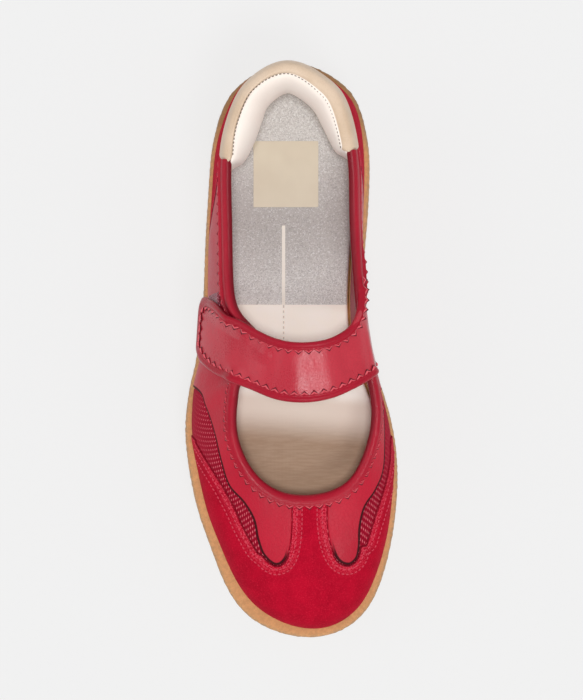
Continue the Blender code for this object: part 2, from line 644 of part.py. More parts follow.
def build():
    for obj in list(bpy.data.objects):
        bpy.data.objects.remove(obj)
    for name in ("shoe", "cutters"):
        bpy.context.scene.collection.children.link(bpy.data.collections.new(name))

    gum = finish("gum_rubber", (0.60, 0.36, 0.15), 0.6)
    suede = finish("red_suede", (0.55, 0.01, 0.03), 0.9)
    leather = finish("red_leather", (0.48, 0.03, 0.05), 0.4)
    textile = finish("red_textile", (0.33, 0.02, 0.04), 0.8)
    beige = finish("beige_leather", (0.70, 0.53, 0.37), 0.5)
    footbed = finish("footbed", (0.72, 0.68, 0.62), 0.6)
    dark = finish("fastener_pile", (0.12, 0.01, 0.02), 1.0)

    make_outsole(gum)
    make_insole(footbed)
    make_upper(textile)

    lobe_outer, lobe_inner = edge_line(LOBE_OUTER), edge_line(LOBE_INNER)
    side, end, high = CUTTER_SIDE * MM, CUTTER_END * MM, 2 * HEEL_HEIGHT
    outer_panel = list(lobe_outer) + [(lobe_outer[-1][0], end), (-side, end)]
    inner_panel = list(lobe_inner) + [(side, end), (lobe_inner[0][0], end)]
    panel_outer_tool = cutter("panel_outer_tool", outer_panel, "Z", 0.0, high)
    panel_inner_tool = cutter("panel_inner_tool", inner_panel, "Z", 0.0, high)

    rear = [(y * MM, z * MM) for y, z in COUNTER_FRONT]
    rear += [(rear[-1][0], high), (end, high), (end, rear[0][1])]
    counter_tool = cutter("counter_tool", rear, "X", -side, side, COUNTER_TURN)
    wider = [(y - GAP, z) for y, z in rear]
    clear_tool = cutter("clear_tool", wider, "X", -side, side, COUNTER_TURN)

    for name, tool in (("quarter_lateral", panel_outer_tool), ("quarter_medial", panel_inner_tool)):
        cut(cut(overlay(name, OVERLAY_DROP, leather), tool, "INTERSECT"), clear_tool, "DIFFERENCE")

    cap = list(edge_line(WING_OUTER))
    cap += list(widen(lobe_outer, -GAP)[EDGE_STEPS * OUTER_TURN :])
    cap += list(widen(lobe_inner, -GAP)[: EDGE_STEPS * INNER_TURN + 1])
    cap += list(edge_line(WING_INNER)) + [(side, -end), (-side, -end)]
    cap_tool = cutter("cap_tool", cap, "Z", 0.0, high)
    cut(overlay("toe_cap", OVERLAY_DROP, suede), cap_tool, "INTERSECT")

    u = whole_ring()
    wrapped = (u + COUNT / 2) % COUNT - COUNT / 2
    heel_drop = tab_depth(np.clip(wrapped, *TAB_ENDS)) + GAP
    cut(overlay("heel_counter", heel_drop, suede), counter_tool, "INTERSECT")

    tab = part_ring(*TAB_ENDS)
    edge_roll("heel_tab", tab, tab_depth(tab), TAB, TAB_PADDING, TAB_INSIDE, beige)
    binding = part_ring(TAB_ENDS[1] + TAB_CLEAR, COUNT + TAB_ENDS[0] - TAB_CLEAR)
    depth = np.full(binding.shape, BINDING_DEPTH)
    edge_roll("topline_binding", binding, depth, BINDING, BINDING, BINDING_INSIDE, leather)
    make_patch(dark)
    make_strap(leather)


build()
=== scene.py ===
"""Dresses the strap sneaker: fine surfaces, materials, stitching, studio and camera."""

import json
import math

import bmesh
import bpy
import numpy as np
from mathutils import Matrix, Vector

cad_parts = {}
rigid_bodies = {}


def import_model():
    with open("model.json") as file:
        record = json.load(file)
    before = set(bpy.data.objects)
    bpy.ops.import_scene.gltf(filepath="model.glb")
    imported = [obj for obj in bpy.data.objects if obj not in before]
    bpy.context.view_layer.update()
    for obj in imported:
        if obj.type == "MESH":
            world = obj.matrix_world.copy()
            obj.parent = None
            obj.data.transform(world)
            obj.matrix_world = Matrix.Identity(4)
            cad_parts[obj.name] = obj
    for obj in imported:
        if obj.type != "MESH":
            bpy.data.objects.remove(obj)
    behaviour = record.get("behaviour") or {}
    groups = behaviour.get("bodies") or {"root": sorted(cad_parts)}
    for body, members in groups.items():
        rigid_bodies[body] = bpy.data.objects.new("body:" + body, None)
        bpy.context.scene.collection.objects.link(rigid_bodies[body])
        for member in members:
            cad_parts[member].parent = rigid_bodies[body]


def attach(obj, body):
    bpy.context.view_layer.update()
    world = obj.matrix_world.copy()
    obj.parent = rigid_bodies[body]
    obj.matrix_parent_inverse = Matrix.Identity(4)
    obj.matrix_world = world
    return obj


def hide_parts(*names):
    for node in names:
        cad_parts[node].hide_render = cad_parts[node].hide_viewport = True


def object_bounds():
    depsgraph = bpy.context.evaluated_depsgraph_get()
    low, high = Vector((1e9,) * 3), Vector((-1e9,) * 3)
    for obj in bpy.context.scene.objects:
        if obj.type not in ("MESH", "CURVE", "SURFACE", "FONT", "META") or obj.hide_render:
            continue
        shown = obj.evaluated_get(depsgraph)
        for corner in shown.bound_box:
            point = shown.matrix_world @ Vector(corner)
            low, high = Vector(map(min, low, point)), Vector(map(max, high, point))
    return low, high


for leftover in list(bpy.data.objects):
    bpy.data.objects.remove(leftover)
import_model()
CAD_BOX = [list(corner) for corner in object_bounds()]

bl_info = {
    "name": "Strap Sneaker",
    "version": (1, 0, 0),
    "blender": (4, 5, 0),
    "location": "View3D > Sidebar > Sneaker",
    "description": "Builds a low strap sneaker with a gum cupsole and pinked leather edges",
    "category": "Add Mesh",
}

MM = 0.001

# The shoe's driving sizes, as in the part
LENGTH = 262 * MM
BALL_WIDTH = 97.2 * MM
HEEL_HEIGHT = 78 * MM
INSTEP_HEIGHT = 78.8 * MM
WALL = 1.5 * MM
GAP = 0.3 * MM
LEATHER = 1.0 * MM
PATCH = 0.9 * MM
STRAP = 1.8 * MM
STRAP_ROOT = 1.0 * MM
INSOLE = 4.5 * MM
WELL = 3.0 * MM
TAB_DEPTH = 13.0 * MM
TAB_END_DEPTH = 10.5 * MM
TAB_ENDS = (-3.22, 3.29)
PATCH_ENDS = (6.08, 8.5)
PATCH_DROP = 3.6 * MM
ROOT_LIFT = GAP + LEATHER + GAP
END_LIFT = ROOT_LIFT + PATCH + 2 * GAP

# The strap's grid: shares across it, and its narrowing towards the tip
STRAP_ACROSS = (0, 0.08, 0.3, 0.5, 0.7, 0.92, 1)
TIP_SQUEEZE = 0.22
STRAP_THINS = (8.4, 10.2)
# Places on the ring that the strap's two ends lie over, and how it is kept off what lies below
FREE_END_OVER = (5.0, 12.0)
ROOT_OVER = (20.0, 27.0)
ROLL_REACH = 2.3 * MM
SEARCH_STEPS = (60, 30)
ROLL_SEARCH = 400
SMALL = 1e-3
UP = (0.0, 0.0, 1.0)

# Ribs of the form, anticlockwise from the heel as seen from above: the sole's rim in hundredths of
# half the width and length, the ledge in mm, the topline in the same hundredths and in hundredths
# of the heel's height, then the two angles in degrees and the two reaches as shares of the chord.
RIB_COLUMNS = (
    "rim_x", "rim_y", "ledge", "top_x", "top_y", "top_z", "lean", "belly", "fall", "crown",
)
RIBS = {
    "heel": (-1.5, 100.0, 3.6, -4.0, 94.7, 100.0, 4, 0.38, 78, 0.30),
    "heel_outer_1": (-43.5, 93.9, 4.2, -32.5, 89.9, 99.0, 4, 0.38, 78, 0.30),
    "heel_outer_2": (-64.6, 84.3, 4.8, -47.7, 82.1, 97.0, 4, 0.38, 78, 0.30),
    "tab_end_outer": (-75.3, 69.7, 3.8, -58.6, 68.2, 91.5, 4, 0.37, 79, 0.31),
    "collar_outer_1": (-79.0, 53.4, 3.4, -60.1, 51.0, 85.5, 4, 0.36, 79, 0.32),
    "collar_outer_2": (-81.7, 35.5, 3.1, -59.2, 34.0, 81.3, 4, 0.36, 77, 0.32),
    "collar_outer_3": (-83.3, 19.0, 3.6, -57.8, 21.0, 81.5, 4, 0.36, 71, 0.32),
    "ear_rear": (-86.3, 7.5, 4.2, -50.4, 11.8, 84.8, 5, 0.36, 60, 0.30),
    "ear_upper": (-90.6, -3.6, 3.4, -32.5, 4.6, 88.0, 6, 0.36, 45, 0.28),
    "ear_tip": (-96.0, -12.4, 3.1, -24.5, -3.6, 88.8, 6, 0.36, 36, 0.28),
    "ear_front": (-99.5, -20.8, 3.6, -45.5, -9.2, 83.0, 5, 0.35, 44, 0.29),
    "throat_outer_1": (-100.6, -30.0, 4.2, -53.2, -15.6, 79.0, 4, 0.34, 54, 0.31),
    "throat_outer_2": (-97.4, -41.0, 5.2, -54.5, -24.2, 73.5, 3, 0.33, 47, 0.33),
    "throat_outer_3": (-89.2, -55.6, 5.6, -49.8, -33.4, 68.5, 2, 0.32, 36, 0.36),
    "throat_outer_4": (-74.4, -71.4, 6.0, -35.2, -43.0, 64.0, 1, 0.31, 22, 0.42),
    "throat_outer_5": (-44.4, -91.6, 7.2, -13.0, -49.0, 61.5, 1, 0.30, 12, 0.50),
    "toe": (14.5, -100.0, 5.6, 10.8, -50.5, 61.0, 1, 0.30, 9, 0.54),
    "throat_inner_5": (59.6, -94.5, 5.2, 32.9, -49.4, 61.5, 1, 0.30, 12, 0.50),
    "throat_inner_4": (82.0, -82.3, 4.9, 54.5, -44.8, 64.0, 2, 0.31, 26, 0.42),
    "throat_inner_3": (94.2, -65.5, 4.1, 69.8, -34.8, 68.5, 3, 0.33, 45, 0.36),
    "throat_inner_2": (99.1, -49.3, 3.8, 76.8, -24.0, 73.0, 4, 0.35, 60, 0.33),
    "throat_inner_1": (98.1, -35.6, 3.1, 75.3, -13.7, 78.0, 6, 0.36, 70, 0.31),
    "root_front": (90.5, -20.6, 3.6, 70.0, -5.0, 81.0, 6, 0.37, 75, 0.31),
    "root_middle": (76.5, -5.0, 4.6, 66.0, 3.4, 82.0, 7, 0.37, 78, 0.31),
    "root_rear": (67.4, 9.5, 4.5, 63.2, 12.6, 81.6, 9, 0.37, 80, 0.31),
    "collar_inner_3": (67.0, 27.0, 4.3, 59.9, 27.0, 80.6, 12, 0.37, 80, 0.31),
    "collar_inner_2": (70.4, 44.0, 4.3, 57.3, 43.5, 82.0, 8, 0.37, 80, 0.31),
    "collar_inner_1": (72.6, 59.2, 4.4, 56.5, 57.3, 86.0, 5, 0.37, 80, 0.31),
    "tab_end_inner": (71.2, 71.8, 4.2, 53.0, 69.5, 91.5, 4, 0.38, 79, 0.31),
    "heel_inner_2": (62.2, 85.0, 3.9, 42.4, 82.8, 97.0, 4, 0.38, 78, 0.30),
    "heel_inner_1": (41.5, 94.1, 5.4, 25.5, 90.1, 99.0, 4, 0.38, 78, 0.30),
}
COUNT = len(RIBS)
TOE = list(RIBS).index("toe")
RIB_SPREAD = 14 * MM
RIB_LENGTH = 58 * MM

# Height of the sole's ledge and of its underside at each section along the shoe, in mm.
LEVEL_COLUMNS = ("along", "ledge", "floor")
LEVELS = (
    (-131.0, 25.5, 8.0),
    (-118.0, 22.8, 4.4),
    (-100.0, 20.9, 1.4),
    (-80.0, 20.1, 0.0),
    (-62.0, 20.0, 0.0),
    (-40.0, 20.7, 0.0),
    (-14.0, 22.1, 0.0),
    (4.0, 23.2, 2.0),
    (22.0, 24.4, 2.8),
    (40.0, 25.3, 2.0),
    (56.0, 25.9, 0.0),
    (90.0, 26.7, 0.0),
    (116.0, 27.4, 0.0),
    (131.0, 28.0, 2.2),
)

# Grooves between the lugs: place along the shoe in mm and turn in degrees.
GROOVE_COLUMNS = ("along", "turn")
GROOVES = (
    (-96, 14), (-82, 14), (-54, 12), (-40, 12), (-26, 10), (60, -4), (74, -4), (102, -4),
)
GROOVE_WIDTH = 3.0 * MM
GROOVE_DEPTH = 2.0 * MM

# Edges of the overlays seen from above, in mm, front end last. Each lobe ends round at the toe.
LOBE_OUTER = (
    (-60.0, -11.0), (-43.0, -18.0), (-38.7, -25.5), (-34.8, -37.0), (-32.2, -48.7), (-28.6, -60.6),
    (-22.1, -68.2), (-17.6, -76.0), (-15.7, -85.0), (-12.9, -92.2), (-7.6, -96.6), (-3.2, -94.4),
    (-1.0, -87.5), (-0.2, -78.0), (-0.2, -66.0), (-0.2, -50.0),
)
LOBE_INNER = (
    (15.8, -50.0), (15.8, -66.0), (15.9, -78.0), (17.3, -87.0), (20.3, -94.2), (25.1, -96.6),
    (29.0, -93.8), (30.4, -88.0), (30.7, -79.5), (32.8, -70.5), (37.7, -62.6), (41.0, -53.5),
    (41.4, -40.0), (40.5, -26.5), (39.6, -18.0), (60.0, -6.0),
)
WING_OUTER = (
    (-60.0, -27.0), (-45.0, -39.2), (-43.2, -42.2), (-41.2, -45.4), (-37.9, -50.5), (-31.0, -61.2),
    (-25.8, -70.8), (-21.1, -81.0), (-15.5, -91.0),
)
WING_INNER = (
    (33.2, -88.0), (36.6, -76.5), (39.9, -66.2), (42.6, -57.0), (43.9, -49.0), (44.1, -42.5),
    (46.0, -37.6), (60.0, -30.0),
)
# Points of an edge's smooth curve for each of its own, and the point where cap meets lobe
EDGE_STEPS = 8
OUTER_TURN, INNER_TURN = 9, 7
# Slanted front edge of the heel counter seen from the side, along and height in mm.
COUNTER_FRONT = ((44.0, 20.0), (84.5, 61.5))
COUNTER_TURN = math.radians(4.9)

# The strap's outer face: its rear and front edge at each station from the free end to the root,
# in mm, with heights in hundredths of the instep height.
STRAP_COLUMNS = ("rear_x", "rear_y", "rear_z", "front_x", "front_y", "front_z")
STRAP_STATIONS = (
    (-41.4, 21.3, 53.3, -42.8, -0.6, 49.5),
    (-39.6, 22.6, 60.3, -41.3, -4.2, 57.7),
    (-33.8, 19.1, 73.0, -36.0, -9.2, 69.2),
    (-24.0, 12.8, 86.9, -28.0, -13.1, 80.6),
    (-12.5, 6.6, 94.9, -17.5, -17.3, 89.2),
    (-3.8, 3.6, 98.7, -7.0, -21.4, 92.6),
    (5.0, 2.8, 100.0, 5.0, -22.7, 93.9),
    (14.8, 4.0, 99.0, 16.8, -21.0, 92.6),
    (22.5, 7.4, 95.8, 26.5, -17.0, 89.5),
    (29.3, 12.2, 90.5, 33.9, -13.0, 85.0),
    (33.0, 16.0, 83.1, 37.2, -9.8, 77.4),
    (33.6, 18.0, 72.3, 37.7, -7.8, 66.6),
    (33.2, 18.8, 60.9, 38.0, -7.0, 56.5),
)

# Shape tables of the trim

# Roll over the topline: depth down the wall and lift out of it, in mm, once round the section.
ROLL_SECTION = (
    (3.6, 1.35), (3.3, 1.85), (2.5, 2.0), (1.4, 1.95), (0.3, 1.6), (-0.6, 0.9), (-1.15, -0.1),
    (-1.25, -0.9), (-0.95, -1.75), (-0.2, -2.45), (0.9, -2.75), (2.0, -2.7), (2.9, -2.35),
    (3.0, -1.95), (2.0, -1.75), (0.2, -1.75), (-0.25, -1.5), (-0.4, -0.7), (-0.2, 0.15),
    (0.6, 0.42), (2.0, 0.7), (3.2, 0.95),
)
# The strip under the roll: its near and far edge down the wall, and its underside and top
PINKED_STRIP = (2.4 * MM, 3.3 * MM)
STRIP_LIFT = (1.36 * MM, 1.95 * MM)
# How far the strip's toothed edge stands off the side, in mm, round the topline
STRIP_STAND = (
    (3.3, 1.0), (6.2, 1.2), (6.8, 0.8), (7.4, 0.2), (10.5, 0.2), (12.0, 0.3), (13.5, 0.1),
    (19.0, 0.1), (21.0, 0.3), (22.0, 0.0), (24.2, 0.0), (24.6, 1.2), (25.1, 1.3), (25.5, 0.6),
    (26.0, 0.5), (27.7, 0.7),
)

# Heel tab: as ROLL_SECTION, with the outer leg's depth given as a share of the tab's.
TAB_SECTION = (
    (1.0, 0.35), (1.0, 0.95), (0.96, 1.45), (0.80, 1.75), (0.55, 1.95), (0.30, 1.95), (0.10, 1.65),
    (-0.04, 1.05), (-0.12, 0.0), (-0.15, -1.3), (-0.16, -2.6), (-0.135, -3.7), (-0.08, -4.6),
    (0.0, -5.0), (0.07, -4.7), (0.10, -3.8), (0.12, -2.6), (0.05, -1.78), (-0.02, -0.7),
    (0.05, 0.32), (0.40, 0.33), (0.75, 0.33),
)
# Reach of the tab's inner lip, and how much less of it turns in over the lining by place on the
# ring, in mm
TAB_LIP = 4.6
TAB_NARROWS = ((-1.2, 0.0), (0.0, 1.5), (0.8, 2.5), (1.6, 3.0), (2.6, 2.8), (3.3, 1.8))
# Foam lining: share of the way down to the footbed, share of the pad's swell.
PAD_SECTION = (
    (0.0, -0.15), (0.008, 0.10), (0.03, 0.34), (0.075, 0.56), (0.14, 0.75), (0.23, 0.90),
    (0.34, 0.98), (0.46, 1.0), (0.60, 0.94), (0.74, 0.74), (0.87, 0.40), (1.0, 0.0),
)
# Swell of the pad, in mm, by place on the ring
PAD_PLACES = (
    -3.34, -3.26, -3.15, -3.0, -2.7, -2.2, -1.6, -0.8, 0.0, 0.8, 1.6, 2.2, 2.7, 3.05, 3.2, 3.32,
    3.4,
)
PAD_SWELL = (0.0, 0.9, 2.2, 3.4, 4.8, 6.2, 6.4, 6.0, 5.6, 6.0, 6.6, 7.2, 6.9, 5.2, 3.6, 1.4, 0.0)
# How far in from the topline the pad starts, at its ends and at full swell
PAD_ENDS_START = 1.95 * MM
PAD_START = 4.2 * MM

# The cupsole's side: inset from the rim in mm, share of the side's height.
SOLE_SIDE = (
    (4.4, 0.0), (3.2, 0.012), (2.5, 0.045), (2.0, 0.10), (1.5, 0.19), (1.1, 0.29), (0.85, 0.40),
    (0.72, 0.49), (0.78, 0.525), (1.2, 0.545), (1.8, 0.562), (1.95, 0.59), (1.8, 0.618),
    (1.1, 0.637), (0.5, 0.652), (0.22, 0.68), (0.06, 0.74), (0.0, 0.80), (0.03, 0.86),
    (0.14, 0.92), (0.42, 0.965), (0.95, 0.99), (1.7, 1.0),
)
# The cupsole's inner side: how far in from the ledge's inner edge, and how far down.
SOLE_WELL = (
    (-0.7 * MM, 0.0), (0.0, 0.0), (0.35 * MM, 0.5 * MM), (WALL + GAP, 0.5 * MM),
    (WALL + 3 * GAP, WELL),
)
# How much closer the cupsole's sections lie near the heel and the toe
SECTIONS_CROWD = 0.045
# The footbed's side: inset and height over its underside, in mm.
INSOLE_SIDE = (
    (0.6, 0.0), (0.1, 0.4), (0.0, 1.0), (0.0, 3.2), (0.25, 4.1), (0.8, 4.6), (1.6, 4.75),
)
# Creases across the strap: place along x, lean, rise or fall in mm and width.
STRAP_CREASES = (
    (-24.0, 0.15, -0.18, 2.6), (-15.5, 0.20, 0.20, 4.0), (-8.0, 0.10, -0.16, 2.4),
    (0.5, -0.05, 0.30, 4.2), (8.0, -0.15, -0.20, 2.8), (15.0, -0.25, 0.18, 3.6),
    (24.0, -0.35, -0.22, 2.6), (29.5, -0.30, 0.15, 2.4),
)
# The strap's rolled edge: distance in from the edge and lift off the face, in mm.
STRAP_EDGE_SECTION = (
    (2.8, 0.12), (2.8, 0.52), (2.4, 0.58), (2.0, 0.62), (1.6, 0.82), (1.0, 0.95), (0.3, 0.80),
    (-0.3, 0.25), (-0.5, -0.5), (-0.3, -1.25), (0.35, -1.72), (1.4, -1.78), (1.5, -1.2),
    (1.0, -0.6), (1.2, 0.02), (2.0, 0.08),
)
# How far the strap's rear edge runs out to the collar, in mm, at each station.
STRAP_FLARE = (
    (0.9, 0), (1.5, 0.8), (2.0, 2.0), (2.6, 2.4), (3.0, 1.5), (3.4, 0.4), (3.8, 0), (8.1, 0),
    (8.3, 0.4), (8.6, 1.5), (8.85, 3.0), (9.1, 4.6), (9.3, 5.4), (9.6, 5.4), (9.9, 3.8),
    (10.2, 1.6), (10.5, 0),
)
# How sharply the run-out bends down, per metre
FLARE_BEND = 110
# Corners of the free end, as lengths along and across the strap
TIP_REAR = (2.0 * MM, 3.0 * MM)
TIP_FRONT = (2.0 * MM, 3.5 * MM)
# Where the strap's roll starts and ends along the strap, where on the ring it leaves the collar's
# roll, and its way from there, in mm
ROLL_ENDS = (8.05, 10.35)
ROLL_LEAVES = (24.95, 24.55)
ROLL_LEAD = (
    (29.5, 27.5, 63.4), (29.4, 24.2, 63.9), (29.2, 20.6, 65.2), (28.7, 17.0, 67.4),
    (27.5, 13.4, 70.4), (25.6, 10.2, 73.0),
)
# How far the strap's face lies lower at its sewn root
ROOT_DROP = 0.62 * MM
# How much wider the rolled edge is round the tip, inwards and outwards
TIP_STRETCH = 0.55
TIP_BULGE = 2.9
# Tilt of the teeth on the rolled edge, in radians, and their height over it
TOOTH_TILT = 0.14
TOOTH_SEAT = 0.48 * MM
# How far the mesh puffs out between the panels
MESH_PUFF = 0.7 * MM
# The footbed's border of silver and cream along y, its line in x, where the cream turns brown
# and the label's left, right, front and rear edges
INSOLE_BORDER = 20.6 * MM
INSOLE_LINE = -3.9 * MM
INSOLE_FADE = (27.0 * MM, 43.0 * MM)
LABEL = (-17.6, 11.9, 64.9, 94.9)
# The overlays' columns on the ring, and how far below the topline they end
CAP_OVER = (10.5, 22.2)
STITCHES_OVER = (11.0, 21.5)
COUNTER_OVER = (-5.4, 6.4)
OVERLAY_DROP = 3.0 * MM
# The camera's view: the shoe's share of the frame's height, and the height of its widest rim
SHARE_OF_FRAME = 0.82
RIM_HEIGHT = 22 * MM
# Where a panel's eased edge has its rows, as shares of its width
ROUND_STEPS = (0.0, 0.08, 0.22, 0.42, 0.68, 1.0)


def hermite(start, end, leave, arrive, f):
    """The smooth way from start to end at a share f, with its slopes at both."""
    near = start * (1 + 2 * f) * (1 - f) ** 2 + leave * f * (1 - f) ** 2
    return near + end * f * f * (3 - 2 * f) - arrive * f * f * (1 - f)


def closed_curve(rows):
    """Smooth closed curve through the rows, one step of its parameter a row."""
    count = len(rows)
    own = np.eye(count)
    system = 4 * own + np.roll(own, 1, axis=1) + np.roll(own, -1, axis=1)
    slopes = np.linalg.solve(system, 3 * (np.roll(rows, -1, axis=0) - np.roll(rows, 1, axis=0)))

    def at(u):
        step = np.floor(u).astype(int)
        here, there = step % count, (step + 1) % count
        f = (u - step)[..., None]
        return hermite(rows[here], rows[there], slopes[here], slopes[there], f)

    return at


def open_curve(points, at):
    """Smooth open curve through the points: its place at each value of at, one step a point."""
    points = np.asarray(points, float)
    slopes = np.gradient(points, axis=0)
    k = np.clip(np.floor(at).astype(int), 0, len(points) - 2)
    return hermite(points[k], points[k + 1], slopes[k], slopes[k + 1], (at - k)[..., None])


def looped(rows, steps):
    """Points of the smooth closed curve through the rows, at steps a row."""
    return closed_curve(np.asarray(rows, float))(np.arange(len(rows) * steps) / steps)


def unit(vectors):
    """The vectors at length 1."""
    return vectors / np.linalg.norm(vectors, axis=-1, keepdims=True)


def reach_along(points):
    """How far each point of a path lies along it, for one path or a row of them."""
    length = np.cumsum(np.linalg.norm(np.diff(points, axis=-2), axis=-1), axis=-1)
    return np.concatenate((np.zeros(length.shape[:-1] + (1,)), length), axis=-1)


def level(column, along):
    """Height of one column of LEVELS at a place along the shoe."""
    table = np.array(LEVELS) * MM
    x, y = table[:, 0], table[:, LEVEL_COLUMNS.index(column)]
    slopes = np.gradient(y, x)
    k = np.clip(np.searchsorted(x, along) - 1, 0, len(x) - 2)
    span = x[k + 1] - x[k]
    f = np.clip((along - x[k]) / span, 0, 1)
    curved = hermite(y[k], y[k + 1], span * slopes[k], span * slopes[k + 1], f)
    return np.where(y[k] == y[k + 1], y[k], curved)


# The form


def rib_values():
    """RIBS in metres, radians and shares of the chord."""
    table = np.array(list(RIBS.values()), float)
    half_width, half_length = BALL_WIDTH / 200, LENGTH / 200
    turn = math.radians(1)
    scale = (
        half_width, half_length, MM, half_width, half_length, HEEL_HEIGHT / 100, turn, 1, turn, 1,
    )
    return table * scale


RIB_CURVE = closed_curve(rib_values())


def rim(u, inset):
    """A point of the sole's outline, moved inwards by inset, and the way out there, as x and y."""
    along = RIB_CURVE(u + SMALL)[..., :2] - RIB_CURVE(u - SMALL)[..., :2]
    out = unit(np.stack((along[..., 1], -along[..., 0]), axis=-1))
    return RIB_CURVE(u)[..., :2] - out * np.asarray(inset)[..., None], out


def ledge_width(place):
    """Width of the sole's ledge at one place on the ring."""
    return RIB_CURVE(np.array(place))[RIB_COLUMNS.index("ledge")]


def form_point(u, t):
    """A point of the form's outer face: each rib is a Bezier curve from the sole to the topline."""
    u, t = np.broadcast_arrays(np.asarray(u, float), np.asarray(t, float))
    row = dict(zip(RIB_COLUMNS, np.moveaxis(RIB_CURVE(u), -1, 0)))
    ground, out = rim(u, row["ledge"])
    foot = np.concatenate((ground, (level("ledge", ground[..., 1]) + GAP)[..., None]), axis=-1)
    top = np.stack((row["top_x"], row["top_y"], row["top_z"]), axis=-1)
    away = unit((foot - top)[..., :2] + RIB_SPREAD * out)
    chord = np.linalg.norm(top - foot, axis=-1)
    lean, fall = row["lean"], row["fall"]
    low = np.stack((out[..., 0] * np.sin(lean), out[..., 1] * np.sin(lean), np.cos(lean)), -1)
    high = np.stack((away[..., 0] * np.cos(fall), away[..., 1] * np.cos(fall), -np.sin(fall)), -1)
    low = foot + low * (chord * row["belly"])[..., None]
    high = top + high * (chord * row["crown"])[..., None]
    t = t[..., None]
    lower = foot * (1 - t) ** 3 + 3 * low * t * (1 - t) ** 2
    return lower + 3 * high * t * t * (1 - t) + top * t**3


def form_normal(u, t):
    """The form's outward normal."""
    u, t = np.broadcast_arrays(np.asarray(u, float), np.asarray(t, float))
    low, high = np.clip(t - SMALL, 0, 1), np.clip(t + SMALL, 0, 1)
    by_u = form_point(u + SMALL, t) - form_point(u - SMALL, t)
    by_t = form_point(u, high) - form_point(u, low)
    return unit(np.cross(by_u, by_t))


def form(u, t, lift):
    """A point of the form moved out by lift, never below the sole's ledge."""
    point = form_point(u, t) + form_normal(u, t) * np.asarray(lift)[..., None]
    lowest = level("ledge", point[..., 1]) + GAP
    point[..., 2] = np.maximum(point[..., 2], lowest)
    return point


def nearest_on_form(points, u_range):
    """u, t, height and offset of each point from the form, searched between two values of u."""
    spans = zip((u_range, (0, 1)), SEARCH_STEPS)
    columns, rows = (np.linspace(*span, steps) for span, steps in spans)
    u, t = (grid.ravel() for grid in np.meshgrid(columns, rows, indexing="ij"))
    away = np.linalg.norm(points[:, None] - form_point(u, t)[None], axis=-1)
    nearest = np.argmin(away, axis=1)
    u, t = u[nearest], t[nearest]
    most_u, most_t = columns[1] - columns[0], rows[1] - rows[0]
    for _ in range(5):
        here = form_point(u, t)
        by_u = (form_point(u + SMALL, t) - here) / SMALL
        by_t = (form_point(u, t + SMALL) - here) / SMALL
        gap = points - here
        a, b, c = ((p * q).sum(-1) for p, q in ((by_u, by_u), (by_u, by_t), (by_t, by_t)))
        d, e = (by_u * gap).sum(-1), (by_t * gap).sum(-1)
        scale = a * c - b * b
        u = np.clip(u + np.clip((c * d - b * e) / scale, -most_u, most_u), *u_range)
        t = np.clip(t + np.clip((a * e - b * d) / scale, -most_t, most_t), 0, 1)
    gap = points - form_point(u, t)
    return u, t, (gap * form_normal(u, t)).sum(-1), gap


def settle(points, thick, u_range, lift):
    """Points too near to the form, or to the rolled topline, are moved out for what lies below."""
    shape = points.shape
    points, thick = points.reshape(-1, 3).copy(), thick.ravel()
    lift = lift + thick
    u, t, height, gap = nearest_on_form(points, u_range)
    sideways = np.linalg.norm(gap - form_normal(u, t) * height[:, None], axis=-1)
    low = (height < lift) & (sideways < ROLL_REACH)
    points[low] += form_normal(u, t)[low] * (lift - height)[low, None]

    u = np.linspace(*u_range, ROLL_SEARCH)
    roll = form(u, np.ones_like(u), np.full(u.shape, -WALL / 2))
    gap = points[:, None] - roll[None]
    distance = np.linalg.norm(gap, axis=-1)
    nearest = np.argmin(distance, axis=1)
    every = np.arange(len(points))
    gap, distance = gap[every, nearest], distance[every, nearest]
    push = np.clip(ROLL_REACH + GAP + thick - distance, 0, None)
    points += gap / distance[:, None] * push[:, None]
    return points.reshape(shape)


def strap_thickness(along):
    """The strap thins towards its sewn root."""
    thin = np.clip((along - STRAP_THINS[0]) / (STRAP_THINS[1] - STRAP_THINS[0]), 0, 1)
    return STRAP + (STRAP_ROOT - STRAP) * thin * thin * (3 - 2 * thin)


def strap_face(along, across):
    """The strap's outer face: along counts stations from its tip, across goes rear to front."""
    height = INSTEP_HEIGHT / 100
    stations = open_curve(np.array(STRAP_STATIONS) * (MM, MM, height, MM, MM, height), along)
    row = dict(zip(STRAP_COLUMNS, np.moveaxis(stations, -1, 0)))
    rear, front = (
        np.stack([row[f"{edge}_{axis}"] for axis in "xyz"], axis=-1) for edge in ("rear", "front")
    )
    return rear + (front - rear) * across[..., None]


# Meshes


def smooth(low, high, value):
    """0 below low, 1 above high and an eased step between."""
    f = np.clip((value - low) / (high - low), 0, 1)
    return f * f * (3 - 2 * f)


def ripple(points, size, seed):
    """Soft seeded waves between -1 and 1 with features of about the given size."""
    chance = np.random.default_rng(seed)
    total = np.zeros(points.shape[:-1])
    for _ in range(7):
        way = chance.normal(size=3)
        way *= 2 * math.pi / (size * chance.uniform(0.7, 1.6)) / np.linalg.norm(way)
        total += np.sin(points @ way + chance.uniform(0, 2 * math.pi))
    return total / 7 * 1.6


def add_object(name, data):
    """A new object at the origin, in the scene."""
    obj = bpy.data.objects.new(name, data)
    bpy.context.scene.collection.objects.link(obj)
    return obj


def applied(obj, name):
    """The object's mesh as its modifiers leave it, and the modifiers removed."""
    bpy.context.view_layer.update()
    graph = bpy.context.evaluated_depsgraph_get()
    mesh = bpy.data.meshes.new_from_object(obj.evaluated_get(graph), depsgraph=graph)
    obj.modifiers.clear()
    mesh.name = name
    return mesh


